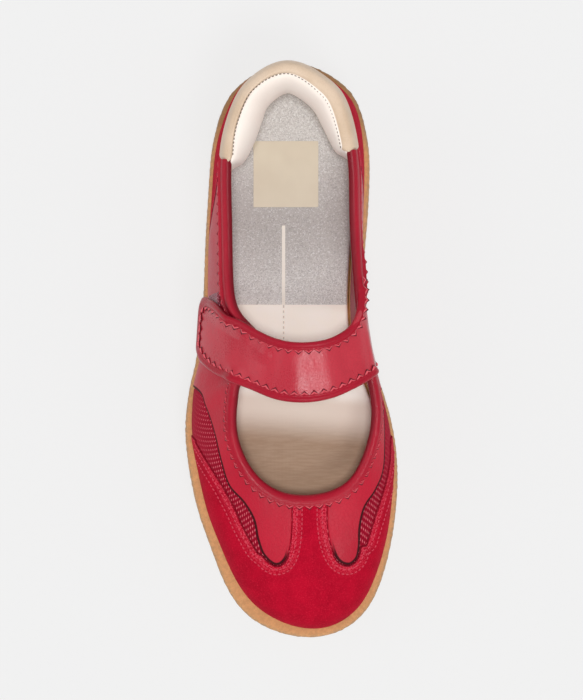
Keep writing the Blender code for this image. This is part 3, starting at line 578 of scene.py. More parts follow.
def add_piece(name, points, faces, materials, fields=None, slots=None, weld=0.01 * MM, sharp=45):
    """A mesh object at the origin, its doubles welded and its faces turned outwards."""
    mesh = bpy.data.meshes.new(name)
    mesh.from_pydata(np.asarray(points).reshape(-1, 3).tolist(), [], [list(f) for f in faces])
    if slots is not None:
        mesh.polygons.foreach_set("material_index", np.asarray(slots, np.int32))
    for key, values in (fields or {}).items():
        values = np.asarray(values, np.float32)
        vector = values.ndim > 1 and values.size == len(mesh.vertices) * 3
        layer = mesh.attributes.new(key, "FLOAT_VECTOR" if vector else "FLOAT", "POINT")
        layer.data.foreach_set("vector" if vector else "value", values.ravel())
    body = bmesh.new()
    body.from_mesh(mesh)
    bmesh.ops.remove_doubles(body, verts=body.verts, dist=weld)
    bmesh.ops.dissolve_degenerate(body, edges=body.edges, dist=weld)
    bmesh.ops.recalc_face_normals(body, faces=body.faces)
    body.to_mesh(mesh)
    body.free()
    mesh.shade_smooth()
    mesh.set_sharp_from_angle(angle=math.radians(sharp))
    for material in materials if isinstance(materials, (list, tuple)) else (materials,):
        mesh.materials.append(material)
    return add_object(name, mesh)


def loft(name, sections, closed, materials, slots=None, fields=None, **options):
    """Closed body through sections, each a closed loop of points; slots gives a material a side."""
    sections = np.asarray(sections, float)
    count, size = sections.shape[:2]
    spans = count if closed else count - 1
    k, i = np.meshgrid(np.arange(spans), np.arange(size), indexing="ij")
    k, i = k.ravel(), i.ravel()
    other, after = (k + 1) % count, (i + 1) % size
    faces = np.stack((k * size + i, k * size + after, other * size + after, other * size + i), 1)
    index = None if slots is None else list(np.asarray(slots)[i])
    faces = faces.tolist()
    if not closed:
        last = (count - 1) * size
        faces += [list(range(size)), list(range(last + size - 1, last - 1, -1))]
        if index is not None:
            index += [slots[0], slots[0]]
    return add_piece(name, sections, faces, materials, fields, index, **options)


def put_on(obj, node=None):
    """Fixes a finished piece to the shoe, in place of its CAD node where it stands for one."""
    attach(obj, "root")
    if node:
        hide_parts(node)
    return obj


def rows_below(u, shares, drop):
    """t on each column of u at the shares of the rib that drop leaves, measured from the sole."""
    steps = np.linspace(0, 1, 81)
    length = reach_along(form_point(u[:, None], steps[None, :]))
    drop = np.broadcast_to(drop, u.shape)
    shares = np.broadcast_to(shares, (len(u),) + np.shape(shares)[-1:])
    goals = shares * (length[:, -1] - drop)[:, None]
    return np.array([np.interp(goal, row, steps) for goal, row in zip(goals, length)])


def at_depth(u, depth):
    """t on each column at a distance below the topline."""
    steps = np.linspace(0.3, 1, 61)
    length = reach_along(form_point(u[:, None], steps[None, :]))
    depth = np.broadcast_to(depth, u.shape)
    return np.array([np.interp(row[-1] - d, row, steps) for d, row in zip(depth, length)])


def over_topline(u, depth, lift):
    """A point of the topline's cross-section: depth runs down the wall and lift out of it."""
    depth, lift = np.broadcast_to(depth, u.shape), np.broadcast_to(lift, u.shape)
    top = np.ones_like(u)
    up = unit(form_point(u, top) - form_point(u, top - 1e-2))
    point = form(u, at_depth(u, np.clip(depth, 0, None)), lift)
    return point + up * np.clip(-depth, 0, None)[:, None]


def plan_distance(points, outline):
    """Signed distance, positive inside, of points to a closed outline, and its gradient."""
    outline = np.asarray(outline, float)
    start, end = outline, np.roll(outline, -1, axis=0)
    span = end - start
    flat = np.asarray(points, float).reshape(-1, 2)
    distance, way, inside = [], [], []
    for chunk in np.array_split(flat, max(1, len(flat) // 4000)):
        gap = chunk[:, None] - start[None]
        share = np.clip((gap * span).sum(-1) / np.maximum((span * span).sum(-1), 1e-18), 0, 1)
        gap = gap - share[..., None] * span
        far = (gap * gap).sum(-1)
        nearest = far.argmin(1)
        every = np.arange(len(chunk))
        distance.append(np.sqrt(far[every, nearest]))
        way.append(gap[every, nearest])
        y, low, high = chunk[:, None, 1], start[None, :, 1], end[None, :, 1]
        cross = (low > y) != (high > y)
        rise = np.where(high == low, 1e-12, high - low)
        side = start[None, :, 0] + (y - low) / rise * (end - start)[None, :, 0]
        inside.append((cross & (chunk[:, None, 0] < side)).sum(1) % 2 == 1)
    distance, way, inside = (np.concatenate(part) for part in (distance, way, inside))
    sign = np.where(inside, 1.0, -1.0)
    way = way / np.maximum(distance, 1e-9)[:, None] * sign[:, None]
    shape = np.shape(points)[:-1]
    return (distance * sign).reshape(shape), way.reshape(shape + (2,))


def on_surface(distance, way, normal):
    """A distance seen from above, or from the side, as one along the surface."""
    slope = (way * normal).sum(-1)
    return distance / np.sqrt(np.clip(1 - slope * slope, 0.12, 1))


def seen_from_above(outline):
    """A field for make_panel: the distance inside an outline of x and y."""
    def field(point, normal):
        distance, way = plan_distance(point[..., :2], outline)
        return on_surface(distance, way, normal[..., :2])
    return field


def seen_from_side(outline, turn):
    """As seen_from_above, for an outline of y and z that is turned about the vertical."""
    def field(point, normal):
        turned = -point[..., 0] * math.sin(turn) + point[..., 1] * math.cos(turn)
        facing = -normal[..., 0] * math.sin(turn) + normal[..., 1] * math.cos(turn)
        distance, way = plan_distance(np.stack((turned, point[..., 2]), -1), outline)
        return on_surface(distance, way, np.stack((facing, normal[..., 2]), -1))
    return field


def split_at(values, triangles, level):
    """Splits the triangles where the third column of values crosses a level."""
    rise = values[:, 2] - level
    high = rise > 0
    flags = high[triangles]
    count = flags.sum(1)
    mixed = (count == 1) | (count == 2)
    if not mixed.any():
        return values, triangles
    whole, cut, flags = triangles[~mixed], triangles[mixed], flags[mixed]
    lone = np.where(flags.sum(1) == 1, flags.argmax(1), (~flags).argmax(1))
    turned = cut[np.arange(len(cut))[:, None], (lone[:, None] + np.arange(3)) % 3]
    a, b, c = turned.T
    pairs = np.sort(np.concatenate((np.stack((a, b), 1), np.stack((a, c), 1))), axis=1)
    pairs, index = np.unique(pairs, axis=0, return_inverse=True)
    index = index.reshape(-1)
    share = rise[pairs[:, 0]] / (rise[pairs[:, 0]] - rise[pairs[:, 1]])
    added = values[pairs[:, 0]] + (values[pairs[:, 1]] - values[pairs[:, 0]]) * share[:, None]
    added[:, 2] = level
    p, q = len(values) + index[: len(a)], len(values) + index[len(a) :]
    made = [np.stack(corner, 1) for corner in ((a, p, q), (p, b, c), (p, c, q))]
    return np.concatenate((values, added)), np.concatenate([whole, *made])


def grid_triangles(columns, rows):
    """Two triangles for each cell of a grid."""
    k, i = np.meshgrid(np.arange(columns - 1), np.arange(rows - 1), indexing="ij")
    a = (k * rows + i).ravel()
    b, c, d = a + rows, a + rows + 1, a + 1
    return np.concatenate((np.stack((a, b, c), 1), np.stack((a, c, d), 1)))


def make_panel(name, grid, place, field, low, thick, materials, ease, relief=None, fields=None):
    """A sheet of the given thickness cut from a surface, with its cut edges eased round.

    grid holds the two surface parameters of each column and row, place(a, b, lift) gives points
    and normals, and field the distance inside the cut edge along the surface.
    """
    a, b = grid
    point, normal = place(a, b, np.full(a.shape, low + thick / 2))
    inside = field(point, normal)
    values = np.stack((a, b, inside), -1).reshape(-1, 3)
    triangles = grid_triangles(*a.shape)
    triangles = triangles[values[:, 2][triangles].max(1) > -3 * MM]
    for step in ROUND_STEPS:
        values, triangles = split_at(values, triangles, step * ease)
    triangles = triangles[values[:, 2][triangles].max(1) > 1e-9]
    used, triangles = np.unique(triangles, return_inverse=True)
    values, triangles = values[used], triangles.reshape(-1, 3)
    a, b, inside = values.T
    f = np.clip(inside / ease, 0, 1)
    lift = low + thick * (0.35 + 0.65 * np.sqrt(1 - (1 - f) ** 2))
    flat, _ = place(a, b, np.full(a.shape, low + thick))
    if relief is not None:
        lift = lift + relief(flat, inside)
    outer, _ = place(a, b, lift)
    inner, _ = place(a, b, np.full(a.shape, low))
    count = len(values)
    ends = np.concatenate((triangles[:, [0, 1]], triangles[:, [1, 2]], triangles[:, [2, 0]]))
    key = np.sort(ends, axis=1)
    _, index, times = np.unique(key, axis=0, return_index=True, return_counts=True)
    start, end = ends[index[times == 1]].T
    walls = np.stack((end, start, start + count, end + count), 1)
    faces = triangles.tolist() + (triangles[:, ::-1] + count).tolist() + walls.tolist()
    extra = {"edge": np.concatenate((inside, inside)) / MM}
    if fields is not None:
        extra.update({key: np.concatenate((v, v)) for key, v in fields(flat, inside).items()})
    points = np.concatenate((outer, inner))
    return add_piece(name, points, faces, materials, extra, weld=0.03 * MM, sharp=50)


def on_form(u, t, lift):
    """A point over the form and the form's normal there."""
    return form(u, t, lift), form_normal(u, t)


def form_grid(start, stop, drop, pitch):
    """u and t of a grid on the form between two columns, up to drop below the topline."""
    probe = np.linspace(start, stop, 200)
    middle = form_point(probe, np.full(probe.shape, 0.35))
    length = np.linalg.norm(np.diff(middle, axis=0), axis=1).sum()
    u = np.linspace(start, stop, int(length / pitch) + 2)
    fall = drop(u) if callable(drop) else drop
    t = rows_below(u, np.linspace(0, 1, int(RIB_LENGTH / pitch)), fall)
    return np.repeat(u[:, None], t.shape[1], axis=1), t


def drop_onto_form(plan, lift, u_span):
    """u and t of the form's points that lie under or over points seen from above, and the miss."""
    u, t = np.meshgrid(np.linspace(*u_span, 160), np.linspace(0, 1, 60), indexing="ij")
    u, t = u.ravel(), t.ravel()
    spots = form(u, t, np.full(u.shape, lift))[:, :2]
    nearest = np.linalg.norm(plan[:, None] - spots[None], axis=-1).argmin(1)
    u, t = u[nearest], t[nearest]
    lifts = np.full(u.shape, lift)
    for _ in range(8):
        here = form(u, t, lifts)[:, :2]
        by_u = (form(u + SMALL, t, lifts)[:, :2] - here) / SMALL
        by_t = (form(u, t - SMALL, lifts)[:, :2] - here) / -SMALL
        gap = plan - here
        scale = by_u[:, 0] * by_t[:, 1] - by_u[:, 1] * by_t[:, 0]
        scale = np.where(np.abs(scale) < 1e-12, 1e-12, scale)
        step_u = (gap[:, 0] * by_t[:, 1] - gap[:, 1] * by_t[:, 0]) / scale
        step_t = (by_u[:, 0] * gap[:, 1] - by_u[:, 1] * gap[:, 0]) / scale
        u = np.clip(u + np.clip(step_u, -0.2, 0.2), *u_span)
        t = np.clip(t + np.clip(step_t, -0.05, 0.05), 0, 1)
    miss = np.linalg.norm(plan - form(u, t, lifts)[:, :2], axis=-1)
    return u, t, miss


def edge_line(points):
    """An overlay's edge in metres: a smooth curve through its points."""
    at = np.arange((len(points) - 1) * EDGE_STEPS + 1) / EDGE_STEPS
    return open_curve(np.array(points) * MM, at)


def widen(line, distance):
    """The line moved to its left by distance."""
    along = np.gradient(line, axis=0)
    return line + unit(np.stack((-along[:, 1], along[:, 0]), axis=1)) * distance


def evenly(path, pitch):
    """The path's points at an even pitch."""
    length = reach_along(path)
    places = np.linspace(0, length[-1], max(2, int(round(length[-1] / pitch)) + 1))
    return np.stack([np.interp(places, length, column) for column in path.T], axis=1)


def soften(path, rounds=3):
    """The path with small corners rounded off."""
    path = path.copy()
    for _ in range(rounds):
        path[1:-1] = (path[:-2] + 2 * path[1:-1] + path[2:]) / 4
    return path


# Geometry Nodes


def small_shape_tree(name, sizes, build_shape):
    """A tree that sets one small shape at an even pitch along paths.

    The paths carry two vectors a point: up, away from the surface, and ahead, the shape's own x.
    """
    tree = bpy.data.node_groups.new(name, "GeometryNodeTree")
    face = tree.interface
    face.new_socket("Geometry", in_out="INPUT", socket_type="NodeSocketGeometry")
    for key, value in sizes.items():
        socket = face.new_socket(key, in_out="INPUT", socket_type="NodeSocketFloat")
        socket.default_value = value
    for key in ("Finish", "Edge finish"):
        face.new_socket(key, in_out="INPUT", socket_type="NodeSocketMaterial")
    face.new_socket("Geometry", in_out="OUTPUT", socket_type="NodeSocketGeometry")

    def node(kind, settings=(), links=()):
        made = tree.nodes.new(kind)
        for key, value in dict(settings).items():
            setattr(made, key, value)
        for key, value in dict(links).items():
            if isinstance(value, bpy.types.NodeSocket):
                tree.links.new(value, made.inputs[key])
            else:
                made.inputs[key].default_value = value
        return made

    given = node("NodeGroupInput").outputs
    curve = node("GeometryNodeMeshToCurve", links={0: given["Geometry"]})
    links = {"Curve": curve.outputs[0], "Length": given["Pitch"]}
    even = node("GeometryNodeResampleCurve", {"mode": "LENGTH"}, links)
    turn = None
    for axis, key in (("Z", "up"), ("X", "ahead")):
        settings = {"data_type": "FLOAT_VECTOR"}
        named = node("GeometryNodeInputNamedAttribute", settings, {"Name": key})
        links = {"Vector": named.outputs["Attribute"]}
        if turn is not None:
            links["Rotation"] = turn
        settings = {"axis": axis, "pivot_axis": "AUTO" if turn is None else "Z"}
        turn = node("FunctionNodeAlignRotationToVector", settings, links).outputs[0]
    shape, cut = build_shape(node, given)
    links = {"Points": even.outputs[0], "Instance": shape, "Rotation": turn}
    placed = node("GeometryNodeInstanceOnPoints", links=links)
    real = node("GeometryNodeRealizeInstances", links={0: placed.outputs[0]})
    links = {"Geometry": real.outputs[0], "Material": given["Finish"]}
    finished = node("GeometryNodeSetMaterial", links=links)
    if cut is not None:
        links = {"Geometry": finished.outputs[0], "Selection": cut}
        links["Material"] = given["Edge finish"]
        finished = node("GeometryNodeSetMaterial", links=links)
    out = node("NodeGroupOutput")
    tree.links.new(finished.outputs[0], out.inputs[0])
    return tree


def scaled(node, given, mesh, keys):
    """The mesh scaled by three of the tree's inputs."""
    size = node("ShaderNodeCombineXYZ", links={axis: given[key] for axis, key in zip("XYZ", keys)})
    links = {"Geometry": mesh, "Scale": size.outputs[0]}
    return node("GeometryNodeTransform", links=links).outputs[0]


def stitch_shape(node, given):
    """A short plump thread, sunk at both ends."""
    ball = node("GeometryNodeMeshUVSphere", links={"Segments": 8, "Rings": 6, "Radius": 0.5})
    shade = node("GeometryNodeSetShadeSmooth", links={0: ball.outputs[0]})
    return scaled(node, given, shade.outputs[0], ("Length", "Width", "Height")), None


def tooth_shape(node, given):
    """A triangular tooth with sloping cut sides that points along x, its base on the path."""
    sizes = {"Vertices": 3, "Radius Top": 0.45, "Radius Bottom": 1.0, "Depth": 1.0}
    block = node("GeometryNodeMeshCone", {"fill_type": "NGON"}, sizes)
    links = {"Geometry": block.outputs["Mesh"], "Translation": (0.5, 0, -0.5)}
    moved = node("GeometryNodeTransform", links=links)
    sized = scaled(node, given, moved.outputs[0], ("Depth", "Base", "Thickness"))
    lower = node("ShaderNodeCombineXYZ", links={"Z": given["Rise"]}).outputs[0]
    set_down = node("GeometryNodeTransform", links={"Geometry": sized, "Translation": lower})
    return set_down.outputs[0], block.outputs["Side"]


def set_along(name, tree, paths, finish, edge_finish=None, **sizes):
    """Runs a small-shape tree over paths of (points, up, ahead) and returns the plain mesh."""
    edges, first = [], 0
    for path, _, _ in paths:
        edges += [(first + k, first + k + 1) for k in range(len(path) - 1)]
        first += len(path)
    points, up, ahead = (np.concatenate(part) for part in zip(*paths))
    mesh = bpy.data.meshes.new(name + "_paths")
    mesh.from_pydata(points.tolist(), edges, [])
    for key, values in (("up", up), ("ahead", ahead)):
        layer = mesh.attributes.new(key, "FLOAT_VECTOR", "POINT")
        layer.data.foreach_set("vector", values.astype(np.float32).ravel())
    carrier = add_object(name + "_paths", mesh)
    modifier = carrier.modifiers.new(tree.name, "NODES")
    modifier.node_group = tree
    given = {**sizes, "Finish": finish, "Edge finish": edge_finish or finish}
    for item in tree.interface.items_tree:
        if item.item_type == "SOCKET" and item.in_out == "INPUT" and item.name in given:
            modifier[item.identifier] = given[item.name]
    result = applied(carrier, name)
    bpy.data.objects.remove(carrier)
    if not result.polygons:
        raise RuntimeError(f"{name} came out empty")
    for layer in [layer for layer in result.attributes if layer.name in ("up", "ahead")]:
        result.attributes.remove(layer)
    return add_object(name, result)


# Materials


def srgb(*parts):
    """A colour given in display values from 0 to 255, as linear red, green, blue and alpha."""
    linear = (((p / 255 + 0.055) / 1.055) ** 2.4 if p > 10 else p / 255 / 12.92 for p in parts)
    return (*linear, 1.0)


def toned(colour, factor):
    """The colour made lighter or darker."""
    return (*(min(1, c * factor) for c in colour[:3]), 1)


class Wire:
    """A shader socket whose arithmetic adds Math nodes."""

    def __init__(self, finish, socket):
        self.finish, self.socket = finish, socket

    def maths(self, operation, *others):
        links = {k: other for k, other in enumerate((self,) + others)}
        return self.finish.node("ShaderNodeMath", {"operation": operation}, links)

    def __add__(self, other):
        return self.maths("ADD", other)

    __radd__ = __add__

    def __mul__(self, other):
        return self.maths("MULTIPLY", other)

    __rmul__ = __mul__

    def __sub__(self, other):
        return self.maths("SUBTRACT", other)

    def __rsub__(self, other):
        return self.maths("MULTIPLY", -1.0).maths("ADD", other)

    def wave(self, pitch):
        """A sine between 0 and 1 that repeats every pitch."""
        return (self * (2 * math.pi / pitch)).maths("SINE") * 0.5 + 0.5

    def step(self, low, high):
        """0 at low, 1 at high and eased between."""
        settings = {"interpolation_type": "SMOOTHSTEP"}
        links = {"Value": self, "From Min": low, "From Max": high}
        return self.finish.node("ShaderNodeMapRange", settings, links)

    def within(self, low, high, soft=0.2 * MM):
        """1 between low and high, with soft borders."""
        return self.step(low - soft, low + soft) * (1 - self.step(high - soft, high + soft))


class Finish:
    """A material of one Principled shader and the pattern nodes that feed it."""

    def __init__(self, title, **constants):
        self.material = bpy.data.materials.new(title)
        self.material.use_nodes = True
        self.tree = self.material.node_tree
        self.shader = next(n for n in self.tree.nodes if n.type == "BSDF_PRINCIPLED")
        for key, value in constants.items():
            name = key.replace("_", " ").title().replace("Ior", "IOR")
            self.shader.inputs[name].default_value = value
        self.place = self.node("ShaderNodeTexCoord", out="Object")
        parts = self.node("ShaderNodeSeparateXYZ", links={0: self.place}, out=None).outputs
        self.x, self.y, self.z = (Wire(self, part) for part in parts)

    def node(self, kind, settings=None, links=None, out=0):
        made = self.tree.nodes.new(kind)
        for key, value in (settings or {}).items():
            setattr(made, key, value)
        for key, value in (links or {}).items():
            if isinstance(value, Wire):
                self.tree.links.new(value.socket, made.inputs[key])
            else:
                made.inputs[key].default_value = value
        return made if out is None else Wire(self, made.outputs[out])

    def noise(self, scale, detail=2.0, rough=0.5, vector=None):
        links = {"Scale": scale, "Detail": detail, "Roughness": rough}
        links["Vector"] = vector or self.place
        return self.node("ShaderNodeTexNoise", links=links)

    def cells(self, scale, feature="F1", out="Distance"):
        links = {"Vector": self.place, "Scale": scale}
        return self.node("ShaderNodeTexVoronoi", {"feature": feature}, links, out)

    def mix(self, factor, a, b):
        """The colour a at factor 0 and b at 1."""
        return self.node("ShaderNodeMix", {"data_type": "RGBA"}, {0: factor, 6: a, 7: b}, 2)

    def attribute(self, key, out="Fac"):
        return self.node("ShaderNodeAttribute", {"attribute_name": key}, out=out)

    def stretched(self, x, y, z):
        """The coordinates scaled along each axis."""
        links = {0: self.place, 1: (x, y, z)}
        return self.node("ShaderNodeVectorMath", {"operation": "MULTIPLY"}, links)

    def join(self, wire, key):
        """Links a socket to one of the shader's inputs."""
        self.tree.links.new(wire.socket, self.shader.inputs[key])

    def feed(self, colour, roughness, height, depth):
        """Joins the finished patterns to the shader; height is worth depth at 1."""
        links = {"Height": height, "Strength": 1.0, "Distance": depth}
        self.join(self.node("ShaderNodeBump", links=links), "Normal")
        self.join(colour, "Base Color")
        if isinstance(roughness, Wire):
            self.join(roughness, "Roughness")
        else:
            self.shader.inputs["Roughness"].default_value = roughness
        return self.material


def suede_finish(look):
    """Napped suede: cloudy brushed patches, a fine grain and a paler nap along cut edges."""
    f = Finish(
        "red_suede", sheen_weight=0.12, sheen_roughness=0.4, sheen_tint=srgb(255, 90, 110),
        specular_ior_level=0.05,
    )
    clouds = f.noise(110, 4, 0.65).step(0.3, 0.7)
    nap = f.noise(1500, 3, 0.7)
    flecks = f.noise(3200, 1, 0.5)
    colour = f.mix(clouds, toned(look.suede, 0.86), toned(look.suede, 1.08))
    colour = f.mix(nap.step(0.48, 0.72) * 0.45, colour, srgb(228, 42, 68))
    colour = f.mix(flecks.step(0.6, 0.8) * 0.5, colour, srgb(130, 0, 24))
    rim = 1 - f.attribute("edge").step(0.8, 5.5)
    colour = f.mix(rim * nap.step(0.46, 0.58) * 0.6, colour, srgb(236, 86, 106))
    # Dark line along the cut edges, left off beside the stem: the edge's own dye with painted
    # shade.
    stem = f.x.within(-2.7 * MM, 18.3 * MM) * f.y.step(-93 * MM, -90 * MM)
    line = (1 - f.attribute("edge").step(0.35, 0.8)) * (1 - stem)
    colour = f.mix(line * 0.75, colour, srgb(96, 2, 20))
    return f.feed(colour, 0.92, nap * 0.7 + flecks * 0.5 + clouds * 0.2, 0.22 * MM)


def leather_finish(name, base, roughness, edge=True, shine=0.42, pebble=1.0):
    """Satin dyed leather: fine pebbled grain, soft creases, an inked cut edge with painted shadow,
    painted shade.
    """
    f = Finish(name, specular_ior_level=shine)
    drift = f.noise(38, 3, 0.55).step(0.32, 0.7)
    grain = f.cells(1150, "SMOOTH_F1")
    pores = f.cells(620, "DISTANCE_TO_EDGE").step(0.0, 0.12)
    wrinkle = f.noise(190, 3, 0.6, f.stretched(1, 0.45, 1))
    colour = f.mix(drift, toned(base, 0.9), toned(base, 1.05))
    colour = f.mix((1 - pores) * 0.25, colour, toned(base, 0.7))
    if edge:
        # Dark cut edge: edge ink, with painted shadow where the panel's edge steps down onto the
        # mesh.
        cut = (1 - f.attribute("edge").step(1.0, 1.4)) * f.attribute("inked")
        colour = f.mix(cut, colour, srgb(62, 0, 10))
    # Painted shade where the piece sets it: inside and under the rolls, and in the crevice by the
    # strap.
    colour = f.mix(f.attribute("worn"), colour, toned(base, 0.5))
    rough = drift * 0.10 + grain * 0.10 + (roughness - 0.08)
    if edge:
        rough = rough + cut * 0.4
    relief = (grain * -0.35 + pores * 0.4) * pebble + wrinkle * 2.4
    return f.feed(colour, rough, relief, 0.09 * MM)


def textile_finish():
    """Open sports mesh: dark knitted ground with a raised pale dot in each diamond."""
    f = Finish("red_textile", specular_ior_level=0.1)
    flow = f.attribute("cloth", "Vector")
    parts = f.node("ShaderNodeSeparateXYZ", links={0: flow}, out=None).outputs
    along, up = (Wire(f, part) for part in parts[:2])
    a, b = (along + up * 0.6).wave(2.2 * MM), (along - up * 0.6).wave(2.2 * MM)
    level = f.attribute("level")
    dots = a * b
    fine = (along.wave(0.55 * MM) * up.wave(0.5 * MM)).step(0.2, 0.8)
    ground = f.mix(level, srgb(176, 28, 54), srgb(150, 14, 40))
    colour = f.mix(dots.step(0.1, 0.55) * (level * 0.7 + 0.3), ground, srgb(204, 44, 70))
    colour = f.mix(dots.step(0.5, 0.85) * (level * 0.8 + 0.05), colour, srgb(238, 132, 142))
    colour = f.mix(fine * 0.3, colour, srgb(170, 14, 42))
    return f.feed(colour, 0.8, dots * (level * 0.6 + 0.4) + fine * 0.25, 0.4 * MM)


def gum_finish(look):
    """Gum rubber: mottled tan, with small darker crumbs and a fine skin."""
    f = Finish("gum_rubber", specular_ior_level=0.4)
    dark = toned(look.gum, 0.84)
    mottle = f.noise(520, 4, 0.7).step(0.3, 0.7)
    crumbs = f.cells(1100)
    skin = f.noise(1500, 3, 0.7)
    colour = f.mix(mottle, dark, toned(look.gum, 1.07))
    colour = f.mix((1 - crumbs.step(0.14, 0.36)) * 0.4, colour, srgb(176, 128, 84))
    coarse = f.noise(900, 2, 0.6).step(0.42, 0.6)
    colour = f.mix(f.attribute("outer") * coarse * 0.75, colour, srgb(158, 132, 104))
    tread = 1 - f.z.step(0.5 * MM, 3.5 * MM)
    ribs = ((f.y + f.x * 0.2).wave(3.4 * MM)).step(0.15, 0.4)
    colour = f.mix(tread * 0.25, colour, dark)
    # Painted shade: the rim at the heel's back is darker, where the overhanging heel shades it.
    worn = f.y.step(88 * MM, 108 * MM) * f.z.step(14 * MM, 24 * MM) * 0.55
    colour = f.mix(worn, colour, srgb(120, 88, 52))
    relief = skin * 0.35 + mottle * 0.3 + ribs * tread * 3.0
    return f.feed(colour, skin * 0.15 + 0.5, relief, 0.12 * MM)


def beige_finish():
    """Smooth beige leather with a soft drift of tone and fine pores."""
    f = Finish("beige_leather", specular_ior_level=0.45)
    drift = f.noise(55, 3, 0.6).step(0.3, 0.7)
    pores = f.cells(900, "DISTANCE_TO_EDGE").step(0.0, 0.1)
    colour = f.mix(drift, srgb(217, 190, 162), srgb(232, 208, 184))
    colour = f.mix((1 - pores) * 0.15, colour, srgb(180, 150, 120))
    fine = f.noise(260, 3, 0.6)
    return f.feed(colour, drift * 0.1 + 0.42, pores * 0.4 + fine * 1.4, 0.06 * MM)


def lining_finish(name, pale, shade):
    """Brushed lining cloth over foam, with a faint painted glow of its pale colour that lifts its
    shade.
    """
    f = Finish(
        name, specular_ior_level=0.15, sheen_weight=0.25, emission_color=pale,
        emission_strength=0.06,
    )
    knit = f.noise(1700, 2, 0.6)
    drift = f.noise(60, 2, 0.5).step(0.3, 0.7)
    colour = f.mix(drift * 0.5 + knit * 0.5, pale, shade)
    return f.feed(colour, 0.85, knit * 0.6 + drift * 0.6, 0.08 * MM)


def insole_finish():
    """Footbed: silver glitter over the heel, cream cloth in front that browns under the toe."""
    f = Finish("footbed", specular_ior_level=0.35, emission_strength=0.3)
    grains = f.cells(2500, out="Color")
    parts = f.node("ShaderNodeSeparateColor", links={0: grains}, out=None).outputs
    bright, tint, deep = (Wire(f, part) for part in parts)
    # The glitter is darker from the cream back to the middle of the heel, then lighter again
    # towards its back.
    worn = f.y.step(20 * MM, 58 * MM) * (1 - f.y.step(58 * MM, 100 * MM) * 0.8)
    silver = f.mix(bright.step(0.1, 0.9), srgb(202, 199, 195), srgb(224, 223, 219))
    silver = f.mix(worn * 0.6, silver, srgb(158, 152, 147))
    silver = f.mix(tint.step(0.72, 0.8) * 0.2, silver, srgb(208, 200, 206))
    silver = f.mix(bright.step(0.86, 0.93) * 0.3, silver, srgb(246, 248, 250))
    silver = f.mix(deep.step(0.82, 0.9) * 0.45, silver, srgb(140, 136, 136))
    weave = f.x.wave(0.62 * MM) * 0.5 + f.y.wave(0.62 * MM) * 0.5
    haze = f.noise(70, 2).step(0.3, 0.7)
    cream = f.mix(haze, srgb(250, 243, 232), srgb(253, 248, 239))
    streaks = f.noise(1100, 3, 0.6, f.stretched(0.12, 1.0, 1.0))
    brown = f.mix(streaks.step(0.35, 0.65), srgb(169, 142, 119), srgb(178, 152, 129))
    toward = f.y * -1 - f.x * 0.08
    cream = f.mix(toward.step(18 * MM, 24 * MM), cream, srgb(232, 218, 204))
    front = f.mix(toward.step(*INSOLE_FADE), cream, brown)
    heel = f.y.step(INSOLE_BORDER - 0.12 * MM, INSOLE_BORDER + 0.12 * MM)
    colour = f.mix(heel, front, silver)
    middle = f.x.within(INSOLE_LINE - 0.75 * MM, INSOLE_LINE + 0.75 * MM, 0.15 * MM)
    stripe = middle * f.y.within(INSOLE_BORDER, 56.6 * MM)
    colour = f.mix(stripe * 0.9, colour, srgb(246, 240, 228))
    narrow = f.x.within(INSOLE_LINE - 0.35 * MM, INSOLE_LINE + 0.35 * MM, 0.15 * MM)
    dashes = f.y.wave(2.4 * MM).step(0.35, 0.6) * f.y.within(4 * MM, INSOLE_BORDER)
    colour = f.mix(narrow * dashes * 0.55, colour, srgb(150, 145, 136))
    # Painted light: the footbed glows under and just behind the strap, and under the toe, to lift
    # the shade of the strap and the toe box.
    under_strap = toward.within(-INSOLE_BORDER, 14 * MM, 4 * MM)
    glow = f.mix(under_strap, srgb(0, 0, 0), srgb(172, 164, 153))
    glow = f.mix(toward.step(46 * MM, 60 * MM), glow, srgb(118, 97, 78))
    f.join(glow, "Emission Color")
    height = bright * heel + weave * (1 - heel)
    return f.feed(colour, 0.72 - heel * 0.25 * tint, height + streaks * 0.4, 0.05 * MM)


def label_finish():
    """The bare beige label: a flat satin transfer with a faint weave."""
    f = Finish("insole_label", specular_ior_level=0.3)
    weave = f.x.wave(0.7 * MM) * f.y.wave(0.7 * MM)
    haze = f.noise(55, 3).step(0.3, 0.7)
    colour = f.mix(haze, srgb(214, 203, 182), srgb(219, 209, 188))
    return f.feed(colour, 0.6, weave * 0.5 + haze * 0.5, 0.04 * MM)


def pile_finish():
    """Hook and loop pile: a red felt of small loops with pale tips."""
    f = Finish("fastener_pile", specular_ior_level=0.1, sheen_weight=0.4)
    loops = f.cells(1400, "F1")
    fuzz = f.noise(900, 3, 0.7)
    colour = f.mix(loops.step(0.1, 0.6), srgb(212, 122, 142), srgb(128, 34, 54))
    colour = f.mix(fuzz.step(0.55, 0.75) * 0.6, colour, srgb(236, 196, 202))
    return f.feed(colour, 0.95, (1 - loops) + fuzz, 0.3 * MM)


def thread_finish(name, tone, shade):
    """Twisted sewing thread."""
    f = Finish(name, specular_ior_level=0.3, sheen_weight=0.2)
    twist = (f.x + f.y + f.z).wave(0.35 * MM)
    return f.feed(f.mix(twist, shade, tone), 0.6, twist, 0.05 * MM)


def floor_finish():
    """Plain pale studio paper."""
    pale = srgb(240, 240, 240)
    f = Finish(
        "studio_paper", specular_ior_level=0.0, emission_color=pale, emission_strength=0.78
    )
    fibre = f.noise(300, 2)
    return f.feed(f.mix(fibre, srgb(118, 118, 118), srgb(120, 120, 120)), 1.0, fibre, 0.01 * MM)


# Strap surface


